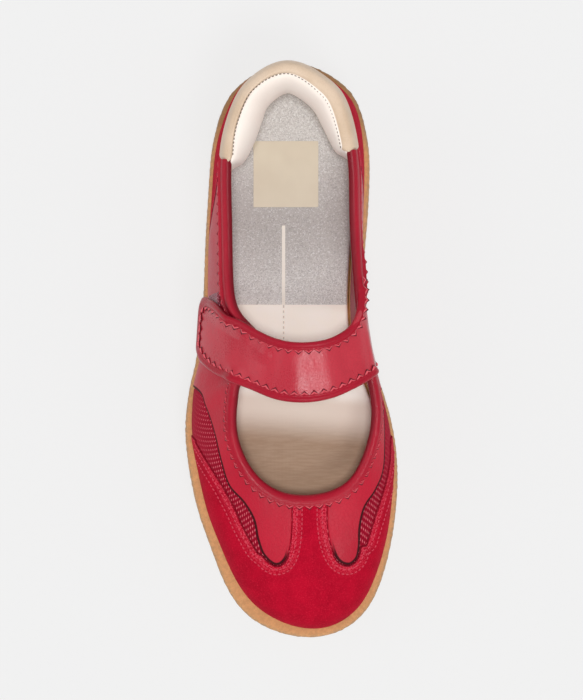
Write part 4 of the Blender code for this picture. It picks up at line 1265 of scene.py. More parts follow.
def strap_coarse():
    """The strap's outer face on its stations, moved clear of the form and of the roll."""
    last = len(STRAP_STATIONS) - 1
    along, across = np.meshgrid(np.linspace(0, last, 27), STRAP_ACROSS, indexing="ij")
    squeeze = TIP_SQUEEZE * np.clip(1 - along, 0, 1) ** 2
    face = strap_face(along, 0.5 + (across - 0.5) * (1 - squeeze))
    thick = strap_thickness(along)
    free, root = along[:, 0] < last / 2, along[:, 0] >= last / 2
    face[free] = settle(face[free], thick[free], FREE_END_OVER, END_LIFT)
    face[root] = settle(face[root], thick[root], ROOT_OVER, ROOT_LIFT)
    return face


class StrapSurface:
    """The strap's face in lengths: a runs from the free end to the root, b from rear to front."""

    def __init__(self):
        self.face = strap_coarse()
        self.reach = reach_along(self.face[:, self.face.shape[1] // 2])
        self.length = self.reach[-1]
        self.station = np.linspace(0, len(STRAP_STATIONS) - 1, len(self.reach))
        self.across = np.array(STRAP_ACROSS)
        self.width = np.linalg.norm(self.face[:, -1] - self.face[:, 0], axis=1)

    def wide(self, a):
        """The strap's width."""
        return np.interp(a, self.reach, self.width)

    def base(self, a, b):
        """A point of the face, which runs on past its edges and bends down at the rear."""
        at = np.interp(a, self.reach, np.arange(len(self.reach)))
        share = np.clip(b / self.wide(a), -0.4, 1.2)
        columns = open_curve(self.face.reshape(len(self.face), -1), at.ravel())
        columns = columns.reshape(-1, self.face.shape[1], 3)
        place = np.interp(share.ravel(), self.across, np.arange(len(self.across)))
        over = share.ravel() - np.clip(share.ravel(), 0, 1)
        low = np.clip(np.floor(place).astype(int), 0, len(self.across) - 2)
        every = np.arange(len(columns))
        f = (place - low)[:, None]
        point = columns[every, low] * (1 - f) + columns[every, low + 1] * f
        front, rear = columns[:, -1] - columns[:, -2], columns[:, 1] - columns[:, 0]
        edge = unit(np.where(over[:, None] > 0, front, rear))
        past = over * self.wide(a).ravel()
        point = point + edge * past[:, None]
        point[:, 2] -= np.where(past < 0, FLARE_BEND * past * past, 0)
        return point.reshape(np.shape(a) + (3,))

    def normal(self, a, b):
        """The face's outward normal."""
        small = 0.6 * MM
        along = self.base(a + small, b) - self.base(a - small, b)
        across = self.base(a, b + small) - self.base(a, b - small)
        return unit(np.cross(across, along))

    def place(self, a, b, lift):
        """A point over the face and the normal there."""
        a, b = np.asarray(a, float), np.asarray(b, float)
        normal = self.normal(a, b)
        return self.base(a, b) + normal * np.asarray(lift)[..., None], normal

    def flare(self, a):
        """How far the rear edge runs out to meet the collar's roll near the root."""
        station, far = np.array(STRAP_FLARE).T
        place = np.interp(station, self.station, self.reach)
        return np.interp(a, place, far * MM)

    def at_station(self, station):
        """The place along the strap of a station."""
        return float(np.interp(station, self.station, self.reach))

    def outline(self, inset=0.0, rear_end=None, front_end=None):
        """Points of a and b, inset from the edge, from the root's rear round the tip."""
        rear_end = rear_end or self.length
        front_end = front_end or self.length
        rear = np.linspace(rear_end, TIP_REAR[0], 90)
        path = [(a, inset - f) for a, f in zip(rear, self.flare(rear))]
        far = float(self.wide(np.array(TIP_FRONT[0]))) - TIP_FRONT[1]
        corners = ((TIP_REAR, TIP_REAR[1], 270, 180), (TIP_FRONT, far, 180, 90))
        for (long, short), middle, first, last in corners:
            for turn in np.radians(np.linspace(first, last, 14)):
                a = long + (long - inset) * math.cos(turn)
                path.append((a, middle + (short - inset) * math.sin(turn)))
        front = np.linspace(TIP_FRONT[0], front_end, 70)
        path += [(a, w - inset) for a, w in zip(front, self.wide(front))]
        path = np.array(path)
        moved = np.linalg.norm(np.diff(path, axis=0), axis=1) > 0.05 * MM
        return path[np.concatenate(([True], moved))]


# Settings


class SneakerLook(bpy.types.PropertyGroup):
    """Sizes and colours of the sneaker that a user may change."""

    suede: bpy.props.FloatVectorProperty(
        name="Suede", description="Colour of the toe cap and heel counter", subtype="COLOR",
        size=4, min=0, max=1, default=srgb(180, 13, 42),
    )
    leather: bpy.props.FloatVectorProperty(
        name="Leather", description="Colour of the side panels and strap", subtype="COLOR",
        size=4, min=0, max=1, default=srgb(190, 14, 46),
    )
    trim: bpy.props.FloatVectorProperty(
        name="Trim", description="Colour of the rolled and pinked edges", subtype="COLOR",
        size=4, min=0, max=1, default=srgb(172, 8, 40),
    )
    gum: bpy.props.FloatVectorProperty(
        name="Gum", description="Colour of the rubber sole", subtype="COLOR", size=4,
        min=0, max=1, default=srgb(208, 154, 104),
    )
    stitch_pitch: bpy.props.FloatProperty(
        name="Stitch pitch", description="Distance between stitches", unit="LENGTH",
        default=2.1 * MM,
    )
    stitch_length: bpy.props.FloatProperty(
        name="Stitch length", description="Length of thread that shows", unit="LENGTH",
        default=1.45 * MM,
    )
    thread: bpy.props.FloatProperty(
        name="Thread", description="Thickness of the sewing thread", unit="LENGTH",
        default=0.55 * MM,
    )
    tooth_pitch: bpy.props.FloatProperty(
        name="Tooth pitch", description="Distance between pinked teeth", unit="LENGTH",
        default=4.4 * MM,
    )
    tooth_depth: bpy.props.FloatProperty(
        name="Tooth depth", description="Depth of the pinked teeth", unit="LENGTH",
        default=1.5 * MM,
    )
    camera_height: bpy.props.FloatProperty(
        name="Camera height", description="Height of the camera over the floor", unit="LENGTH",
        default=1.35,
    )


class Shop:
    """Materials and node trees that the pieces share, made once."""

    made = {}

    @classmethod
    def get(cls, key):
        look = bpy.context.scene.sneaker_look
        leather, trim = tuple(look.leather), tuple(look.trim)
        # The strap's copy of the leather is painted lighter: a painted sheen for its broad gloss.
        pale = tuple(c + 0.017 for c in leather[:3]) + (1,)
        recipes = {
            "suede": lambda: suede_finish(look),
            "leather": lambda: leather_finish("red_leather", leather, 0.44),
            "strap": lambda: leather_finish("strap_leather", pale, 0.3, True, 0.62, 0.45),
            "trim": lambda: leather_finish("trim_leather", trim, 0.33, edge=False),
            # The dark backing row stands for the raw cut edge and the shadow under the teeth:
            # partly painted shadow.
            "raw": lambda: leather_finish("raw_edge", srgb(96, 2, 24), 0.6, edge=False),
            # Painted highlight: the teeth's cut sides are lighter, as where they catch the light.
            "cut": lambda: leather_finish("cut_edge", srgb(232, 96, 108), 0.5, edge=False),
            "textile": textile_finish,
            "inner": lambda: lining_finish(
                "inner_lining", srgb(168, 16, 44), srgb(140, 8, 34)
            ),
            "gum": lambda: gum_finish(look),
            "beige": beige_finish,
            "cream": lambda: lining_finish(
                "heel_lining", srgb(254, 245, 236), srgb(250, 236, 226)
            ),
            "insole": insole_finish,
            "label": label_finish,
            "pile": pile_finish,
            "thread": lambda: thread_finish(
                "red_thread", srgb(226, 82, 104), srgb(200, 40, 68)
            ),
            "beige_thread": lambda: thread_finish(
                "beige_thread", srgb(128, 112, 96), srgb(92, 78, 66)
            ),
            "floor": floor_finish,
            "stitch_tree": lambda: small_shape_tree(
                "stitch_row",
                {"Pitch": 2 * MM, "Length": 1.4 * MM, "Width": 0.5 * MM, "Height": 0.5 * MM},
                stitch_shape,
            ),
            "tooth_tree": lambda: small_shape_tree(
                "pinked_edge",
                {"Pitch": 4 * MM, "Depth": MM, "Base": 2.3 * MM, "Thickness": 0.6 * MM, "Rise": 0},
                tooth_shape,
            ),
        }
        if key not in cls.made:
            cls.made[key] = recipes[key]()
        return cls.made[key]


def stitch_rows(name, paths, finish, size=1.0):
    """Rows of stitches along paths, at a share of the look's stitch size."""
    look = bpy.context.scene.sneaker_look
    obj = set_along(
        name, Shop.get("stitch_tree"), paths, Shop.get(finish), Pitch=look.stitch_pitch * size,
        Length=look.stitch_length * size, Width=look.thread * size,
        Height=look.thread * 1.1 * size,
    )
    put_on(obj)


def teeth(name, path, thickness):
    """A row of pinked teeth pointing ahead, sides painted light, over a longer dark row: raw edge
    and painted shadow.
    """
    look = bpy.context.scene.sneaker_look
    sizes = {"Pitch": look.tooth_pitch, "Base": look.tooth_pitch / math.sqrt(3)}
    # A unit cone of three sides reaches 1.5 times its radius across.
    reach = look.tooth_depth / 1.5
    for part, finish, edge, grow, thick, rise in (
        (name, "trim", "cut", 1.0, thickness, 0.0),
        (name + "_shade", "raw", "raw", 1.45, 0.3 * MM, -0.5 * thickness - 0.1 * MM),
    ):
        obj = set_along(
            part, Shop.get("tooth_tree"), [path], Shop.get(finish), Shop.get(edge),
            Depth=reach * grow, Thickness=thick, Rise=rise, **sizes,
        )
        put_on(obj)


def across_pairs(share):
    """Places on the ring that face each other across the shoe, from the heel to the toe."""
    return zip(share * TOE, COUNT + (TOE - COUNT) * share)


def path_on_form(u, t, lift, across=False):
    """A path on the form, with shapes ahead along it or, across it, away from the topline."""
    point, up = on_form(u, t, np.full(np.shape(u), lift))
    ahead = np.gradient(point, axis=0)
    if across:
        ahead = form_point(u, t - 1e-2) - form_point(u, t)
    return point, up, unit(ahead)


# Pieces


class ShoeOperator:
    """What the operators that build pieces share."""

    bl_options = {"REGISTER", "UNDO"}

    def execute(self, context):
        self.build()
        return {"FINISHED"}


class SNEAKER_OT_stage(ShoeOperator, bpy.types.Operator):
    """Sets the studio floor, the soft lights and the camera straight above the shoe"""

    bl_idname = "sneaker.stage"
    bl_label = "Studio"

    def build(self):
        scene = bpy.context.scene
        mesh = bpy.data.meshes.new("floor")
        corners = [(x, y, -0.4 * MM) for x, y in ((-2, -2), (2, -2), (2, 2), (-2, 2))]
        mesh.from_pydata(corners, [], [(0, 1, 2, 3)])
        mesh.materials.append(Shop.get("floor"))
        add_object("floor", mesh)

        world = scene.world or bpy.data.worlds.new("studio")
        scene.world = world
        world.use_nodes = True
        sky = next(n for n in world.node_tree.nodes if n.type == "BACKGROUND")
        sky.inputs["Color"].default_value = (1, 1, 1, 1)
        sky.inputs["Strength"].default_value = 0.36
        # Power, spread, tilt from straight down, turn, and whether it shows in shiny surfaces
        for name, power, spread, tilt, turn, shines in (
            ("top_light", 1.45, 9, 1, 0, False),
            ("key_light", 0.62, 16, 24, 24, True),
            ("side_light", 0.26, 40, 50, -90, True),
            ("fill_light", 0.16, 40, 50, 90, False),
        ):
            lamp = bpy.data.lights.new(name, "SUN")
            lamp.energy = power
            lamp.angle = math.radians(spread)
            obj = add_object(name, lamp)
            obj.rotation_euler = (math.radians(tilt), 0, math.radians(turn))
            obj.visible_glossy = shines

        camera = bpy.data.cameras.new("camera")
        camera.sensor_fit = "VERTICAL"
        camera.sensor_height = 24
        low, high = CAD_BOX
        height = scene.sneaker_look.camera_height
        shown = (high[1] - low[1]) / SHARE_OF_FRAME
        camera.lens = camera.sensor_height * (height - RIM_HEIGHT) / shown
        scene.camera = add_object("camera", camera)
        scene.camera.location = ((low[0] + high[0]) / 2, (low[1] + high[1]) / 2, height)
        scene.view_settings.view_transform = "Standard"


class SNEAKER_OT_sole(ShoeOperator, bpy.types.Operator):
    """Builds the gum cupsole with its stepped side and grooved tread"""

    bl_idname = "sneaker.sole"
    bl_label = "Cupsole"

    def build(self):
        share = np.linspace(0, 1, 430)
        share = share - SECTIONS_CROWD * np.sin(2 * math.pi * share)
        inset, rise = np.array(SOLE_SIDE).T
        sections = []
        for pair in across_pairs(share):
            sides = []
            for place in pair:
                u = np.full(len(inset), place)
                ground, out = rim(u, inset * MM)
                low, high = level("floor", ground[:, 1]), level("ledge", ground[:, 1])
                side = np.column_stack((ground, low + rise * (high - low)))
                rough = ripple(side, 2.6 * MM, 5) * smooth(0.62, 0.72, rise) * 0.16 * MM
                side[:, :2] += out * rough[:, None]
                inner = []
                for deeper, drop in SOLE_WELL:
                    spot, _ = rim(np.array(place), ledge_width(place) + deeper)
                    inner.append((*spot, float(level("ledge", spot[1])) - drop))
                sides.append(np.vstack((side, inner)))
            sections.append(np.vstack((sides[0], sides[1][::-1])))
        outer = 1 - smooth(0.3, 1.7, inset) * smooth(0.9, 0.95, rise)
        outer = np.concatenate((outer, np.zeros(2 * len(inner)), outer[::-1]))
        fields = {"outer": np.tile(outer, len(sections))}
        gum = Shop.get("gum")
        sole = loft("cupsole", sections, False, gum, fields=fields, weld=0.02 * MM, sharp=55)
        grooves = bmesh.new()
        for row in GROOVES:
            groove = dict(zip(GROOVE_COLUMNS, row))
            made = bmesh.ops.create_cube(grooves, size=1.0)["verts"]
            bmesh.ops.scale(grooves, vec=(140 * MM, GROOVE_WIDTH, 2 * GROOVE_DEPTH), verts=made)
            bmesh.ops.translate(grooves, vec=(0, groove["along"] * MM, 0), verts=made)
            turn = math.radians(groove["turn"])
            cosine, sine = math.cos(turn), math.sin(turn)
            for vert in made:
                x, y, z = vert.co
                vert.co = (x * cosine - y * sine, x * sine + y * cosine, z)
        mesh = bpy.data.meshes.new("groove_cutter")
        grooves.to_mesh(mesh)
        grooves.free()
        cutter = add_object("groove_cutter", mesh)
        modifier = sole.modifiers.new("grooves", "BOOLEAN")
        modifier.operation = "DIFFERENCE"
        modifier.object = cutter
        sole.data = applied(sole, "cupsole")
        bpy.data.objects.remove(cutter)
        put_on(sole, "outsole")


class SNEAKER_OT_insole(ShoeOperator, bpy.types.Operator):
    """Builds the footbed with its glitter heel and the bare label on it"""

    bl_idname = "sneaker.insole"
    bl_label = "Footbed"

    def build(self):
        across = np.linspace(0, 1, 26)[1:-1]
        sections = []
        for pair in across_pairs(np.linspace(0, 1, 260)):
            sides = []
            for place in pair:
                ledge = ledge_width(place) + WALL + 4 * GAP
                side = []
                for inside, rise in INSOLE_SIDE:
                    spot, _ = rim(np.array(place), ledge + inside * MM)
                    side.append((*spot, float(level("ledge", spot[1])) - WELL + GAP + rise * MM))
                sides.append(np.array(side))
            start, end = sides[0][-1], sides[1][-1]
            top = start + (end - start) * across[:, None]
            top[:, 2] = level("ledge", top[:, 1]) - WELL + GAP + INSOLE
            width = np.linalg.norm(end - start)
            near = np.minimum(across, 1 - across) * width
            top[:, 2] += 0.25 * MM - 0.45 * MM * smooth(0, 9 * MM, near)
            sections.append(np.vstack((sides[0], top, sides[1][::-1])))
        insole = loft("footbed", sections, False, Shop.get("insole"), weld=0.02 * MM, sharp=60)
        put_on(insole, "insole")

        left, right, front, rear = (edge * MM for edge in LABEL)
        outline = [(left, front), (right, front), (right, rear), (left, rear)]

        def bed(a, b, lift):
            z = level("ledge", b) - WELL + GAP + INSOLE - 0.2 * MM + lift
            return np.stack((a, b, z), -1), np.broadcast_to(UP, np.shape(a) + (3,))

        def field(point, normal):
            return plan_distance(point[..., :2], outline)[0]

        margin = 1.2 * MM
        x = np.linspace(left - margin, right + margin, 40)
        y = np.linspace(front - margin, rear + margin, 40)
        label = make_panel(
            "insole_label", np.meshgrid(x, y, indexing="ij"), bed, field, 0.02 * MM, 0.16 * MM,
            Shop.get("label"), 0.12 * MM,
        )
        put_on(label)


class SNEAKER_OT_upper(ShoeOperator, bpy.types.Operator):
    """Builds the thin mesh upper under the panels, with its lining inside"""

    bl_idname = "sneaker.upper"
    bl_label = "Mesh upper"

    def build(self):
        u = np.arange(COUNT * 16) / 16
        t = rows_below(u, np.linspace(0, 1, 36), 0.0)
        grid = np.repeat(u[:, None], t.shape[1], axis=1)
        flat = form(grid, t, np.zeros(t.shape))
        plan = flat[..., :2]
        covered = np.max([plan_distance(plan, edge)[0] for edge in panel_outlines()], axis=0)
        climbed = np.linalg.norm(flat - flat[:, :1], axis=2)
        puff = MESH_PUFF * smooth(-0.9 * MM, 0.4 * MM, -covered) * smooth(0, 2.5 * MM, climbed)
        facing = np.cross(np.gradient(flat, axis=0), np.gradient(flat, axis=1))
        lying = smooth(0.3, 0.8, np.abs(facing[..., 2]) / np.linalg.norm(facing, axis=2))
        outer = form(grid, t, puff)
        inner = form(grid, t, np.full(t.shape, -WALL))
        rows = t.shape[1]
        along = np.repeat(reach_along(outer[:, 12])[:, None], rows, axis=1)
        cloth = np.stack((along, reach_along(outer), np.zeros(t.shape)), -1)
        slots = [0] * rows + [1] * rows
        sections = np.concatenate((outer, inner[:, ::-1]), axis=1)
        fields = {
            "cloth": np.concatenate((cloth, cloth[:, ::-1]), axis=1).reshape(-1, 3),
            "level": np.concatenate((lying, lying[:, ::-1]), axis=1).ravel(),
        }
        materials = (Shop.get("textile"), Shop.get("inner"))
        upper = loft("mesh_upper", sections, True, materials, slots, fields)
        put_on(upper, "upper")


def panel_outlines():
    """Closed outlines, seen from above, of the two side panels and the suede cap."""
    lobe_outer, lobe_inner = edge_line(LOBE_OUTER), edge_line(LOBE_INNER)
    side, end = 60 * MM, 150 * MM
    outer = list(lobe_outer) + [(lobe_outer[-1][0], end), (-side, end)]
    inner = list(lobe_inner) + [(side, end), (lobe_inner[0][0], end)]
    cap = (
        *edge_line(WING_OUTER), *widen(lobe_outer, -GAP)[EDGE_STEPS * OUTER_TURN :],
        *widen(lobe_inner, -GAP)[: EDGE_STEPS * INNER_TURN + 1], *edge_line(WING_INNER),
        (side, -end), (-side, -end),
    )
    return outer, inner, cap


def counter_outline(grow=0.0):
    """The heel counter's outline seen from the side, its front edge moved forward by grow."""
    end, high = 150 * MM, 2 * HEEL_HEIGHT
    rear = [(y * MM, z * MM) for y, z in COUNTER_FRONT]
    rear += [(rear[-1][0], high), (end, high), (end, rear[0][1])]
    return [(y - grow, z) for y, z in rear]


def tab_depth(u):
    """How far the heel tab comes down the outside."""
    wrapped = np.clip((np.asarray(u) + COUNT / 2) % COUNT - COUNT / 2, *TAB_ENDS)
    return TAB_DEPTH + (TAB_END_DEPTH - TAB_DEPTH) * (wrapped / TAB_ENDS[1]) ** 2


def leather_relief(seed, amount=0.10 * MM):
    """The slight softness of leather pulled over a last."""
    def relief(point, inside):
        return ripple(point, 26 * MM, seed) * amount * smooth(0, 4 * MM, inside)
    return relief


class SNEAKER_OT_cap(ShoeOperator, bpy.types.Operator):
    """Builds the T-shaped suede toe cap"""

    bl_idname = "sneaker.cap"
    bl_label = "Suede cap"

    def build(self):
        _, _, outline = panel_outlines()
        grid = form_grid(*CAP_OVER, OVERLAY_DROP, 0.75 * MM)
        cap = make_panel(
            "suede_cap", grid, on_form, seen_from_above(outline), GAP, LEATHER, Shop.get("suede"),
            0.7 * MM, leather_relief(3, 0.05 * MM),
        )
        put_on(cap, "toe_cap")


class SNEAKER_OT_panels(ShoeOperator, bpy.types.Operator):
    """Builds the two leather side panels with their lobed front edges"""

    bl_idname = "sneaker.panels"
    bl_label = "Side panels"

    def build(self):
        outer, inner, _ = panel_outlines()
        counter = seen_from_side(counter_outline(GAP), COUNTER_TURN)
        for name, node, outline, span, seed in (
            ("side_panel_outer", "quarter_lateral", outer, (1.6, 16.6), 11),
            ("side_panel_inner", "quarter_medial", inner, (16.0, 29.6), 12),
        ):
            above = seen_from_above(outline)

            def field(point, normal, above=above):
                return np.minimum(above(point, normal), -counter(point, normal))

            def extras(point, inside):
                """Edges beside the cap's stem are left without the inked and painted-shadow line.
                """
                stem = 1 - smooth(9.5 * MM, 12 * MM, np.abs(point[:, 0] - 7.8 * MM))
                return {"inked": 1 - stem * smooth(-95 * MM, -89 * MM, point[:, 1])}

            panel = make_panel(
                name, form_grid(*span, OVERLAY_DROP, 0.85 * MM), on_form, field, GAP, LEATHER,
                Shop.get("leather"), 0.75 * MM, leather_relief(seed), extras,
            )
            put_on(panel, node)


class SNEAKER_OT_counter(ShoeOperator, bpy.types.Operator):
    """Builds the suede heel counter with its slanted front edges"""

    bl_idname = "sneaker.counter"
    bl_label = "Heel counter"

    def build(self):
        inside = seen_from_side(counter_outline(), COUNTER_TURN)
        grid = form_grid(*COUNTER_OVER, lambda u: tab_depth(u) - 2 * MM, 0.85 * MM)
        counter = make_panel(
            "suede_counter", grid, on_form, inside, GAP, LEATHER, Shop.get("suede"), 0.7 * MM,
            leather_relief(4, 0.05 * MM),
        )
        put_on(counter, "heel_counter")


class SNEAKER_OT_heel(ShoeOperator, bpy.types.Operator):
    """Builds the rolled beige heel tab and the padded cream lining below it"""

    bl_idname = "sneaker.heel"
    bl_label = "Heel tab and lining"

    def build(self):
        low, high = TAB_ENDS
        u = np.linspace(low, high, 190)
        depth = tab_depth(u)
        near_end = np.clip(np.minimum(u - low, high - u) / 0.16, 0, 1)
        taper = np.sqrt(np.clip(1 - (1 - near_end) ** 2, 0.04, 1))
        middle = -1.2
        narrow = 1 - np.interp(u, *np.array(TAB_NARROWS).T) / TAB_LIP
        columns = []
        for share, lift in looped(TAB_SECTION, 2):
            reach = np.where(share > 0.4, share * depth, share * TAB_DEPTH)
            swell = (lift - middle) * taper + middle
            lift = np.where(swell < 0, swell * narrow, swell) * MM
            columns.append(over_topline(u, reach, lift))
        tab = loft("heel_tab_roll", np.stack(columns, axis=1), False, Shop.get("beige"), sharp=60)
        put_on(tab, "heel_tab")

        u = np.linspace(PAD_PLACES[0], PAD_PLACES[-1], 220)
        rows = open_curve(np.array(PAD_SECTION), np.linspace(0, len(PAD_SECTION) - 1, 44))
        places = np.interp(u, PAD_PLACES, np.arange(len(PAD_PLACES)))
        swell = open_curve(np.array(PAD_SWELL)[:, None], places)[:, 0]
        swell = np.clip(swell, 0, None) * MM
        fade = smooth(0, 1, np.clip(swell / (3 * MM), 0, 1))
        narrow = np.interp(u, *np.array(TAB_NARROWS).T) * MM * fade
        swell = swell + narrow
        top = form_point(u, np.ones_like(u))
        _, out = rim(u, np.zeros_like(u))
        bottom = level("ledge", top[:, 1]) + 1.6 * MM
        face, back = [], []
        for down, share in rows:
            z = top[:, 2] + (1.7 * fade - 0.6) * MM + (bottom - top[:, 2]) * down
            start = PAD_ENDS_START + (PAD_START - PAD_ENDS_START) * fade - narrow
            wall = wall_at_height(u, z)
            spot = top[:, :2] - out * (start + swell * share)[:, None]
            reach = ((wall - spot) * out).sum(-1)
            floor_near = 0.35 * MM + 0.3 * MM * fade
            spot = np.where((reach < floor_near)[:, None], wall - out * floor_near[:, None], spot)
            bent = wall - out * (0.4 * MM + 1.2 * MM * fade)[:, None]
            mixed = smooth(0.62, 1.0, down)
            spot = spot * (1 - mixed) + bent * mixed
            face.append(np.column_stack((spot, z)))
            z = np.minimum(z, top[:, 2] - 0.4 * MM)
            back.append(np.column_stack((wall - out * 0.12 * MM, z)))
        sections = np.concatenate((np.stack(face, 1), np.stack(back, 1)[:, ::-1]), axis=1)
        lining = loft("heel_lining", sections, False, Shop.get("cream"), sharp=70)
        put_on(lining)

        u = np.linspace(low + 0.15, high - 0.15, 260)
        narrow = np.interp(u, *np.array(TAB_NARROWS).T)
        seam = over_topline(u, -0.1 * TAB_DEPTH - 0.25 * MM, (narrow - TAB_LIP) * MM)
        path = seam, np.tile(UP, (len(u), 1)), unit(np.gradient(seam, axis=0))
        stitch_rows("heel_tab_seam", [path], "beige_thread", 0.8)


def wall_at_height(u, z):
    """Plan points of the upper's inner face at a height on each column."""
    across, steps = np.meshgrid(u, np.linspace(0, 1, 70), indexing="ij")
    line = form(across, steps, np.full(steps.shape, -WALL - 0.1 * MM))
    spots = [[np.interp(h, row[:, 2], row[:, axis]) for axis in (0, 1)] for h, row in zip(z, line)]
    return np.array(spots)


class SNEAKER_OT_binding(ShoeOperator, bpy.types.Operator):
    """Builds the rolled topline with its pinked strip"""

    bl_idname = "sneaker.binding"
    bl_label = "Topline binding"

    def build(self):
        start, stop = TAB_ENDS[1] - 0.04, COUNT + TAB_ENDS[0] + 0.04
        u = np.linspace(start, stop, 620)
        shape = looped(ROLL_SECTION, 1.5)
        columns = [over_topline(u, depth * MM, lift * MM) for depth, lift in shape]
        # Painted shade: the roll is darker inside the shoe, and outside where the strap's free end
        # shades it.
        inner = np.tile(1 - smooth(-1.1, 0.9, shape[:, 1]), (len(u), 1))
        shade = smooth(6.2, 6.6, u) * (1 - smooth(7.4, 7.9, u))
        border = np.interp(u, (6.2, 6.8, 7.2, 7.7), (0.9, 0.5, -0.4, -0.9))[:, None]
        inner = np.maximum(inner, shade[:, None] * smooth(-0.3, 0.4, shape[:, 0] - border))
        roll = loft(
            "topline_roll", np.stack(columns, axis=1), False, Shop.get("trim"),
            fields={"worn": inner.ravel()}, sharp=70,
        )
        put_on(roll, "topline_binding")

        near, far = PINKED_STRIP
        low, high = STRIP_LIFT
        places, standing = np.array(STRIP_STAND).T
        stand = np.interp(u, places, standing * MM)
        crown = ((near + far) / 2, high + 0.08 * MM)
        section = [(near, low), (near, high), crown, (far, high), (far, low)]
        columns = [
            form(u, at_depth(u, depth), lift + stand * (depth - near) / (far - near))
            for depth, lift in section
        ]
        # Painted shade on the strip where the strap's free end shades it.
        strip = loft(
            "pinked_strip", np.stack(columns, axis=1), False, Shop.get("trim"),
            fields={"worn": np.repeat(shade, len(section))}, sharp=50,
        )
        put_on(strip)

        u = np.linspace(start + 0.1, stop - 0.1, 2600)
        stand = np.interp(u, places, standing * MM)
        t = at_depth(u, far - 0.02 * MM)
        point, up, ahead = path_on_form(u, t, (low + high) / 2 + stand, across=True)
        tilt = (0.15 + 0.4 * stand / MM)[:, None]
        way, up = ahead * np.cos(tilt) + up * np.sin(tilt), up * np.cos(tilt) - ahead * np.sin(tilt)
        teeth("topline_teeth", (point, up, way), high - low)


class SNEAKER_OT_patch(ShoeOperator, bpy.types.Operator):
    """Builds the hook and loop patch under the strap's free end"""

    bl_idname = "sneaker.patch"
    bl_label = "Fastener patch"

    def build(self):
        u = np.linspace(*PATCH_ENDS, 60)
        t = rows_below(u, np.linspace(3 / 7, 6 / 7, 40), PATCH_DROP)
        grid = np.repeat(u[:, None], 40, axis=1)
        k, i = np.indices(t.shape)
        edge = np.min((k, k[::-1], i, i[:, ::-1]), axis=0)
        lift = ROOT_LIFT + PATCH * 0.8 - PATCH * 0.5 * np.clip(1 - edge / 2, 0, 1)
        outer = form(grid, t, lift)
        inner = form(grid, t, np.full(t.shape, ROOT_LIFT))
        sections = np.concatenate((outer, inner[:, ::-1]), axis=1)
        patch = loft("fastener_pile", sections, False, Shop.get("pile"), sharp=60)
        put_on(patch, "fastener_patch")


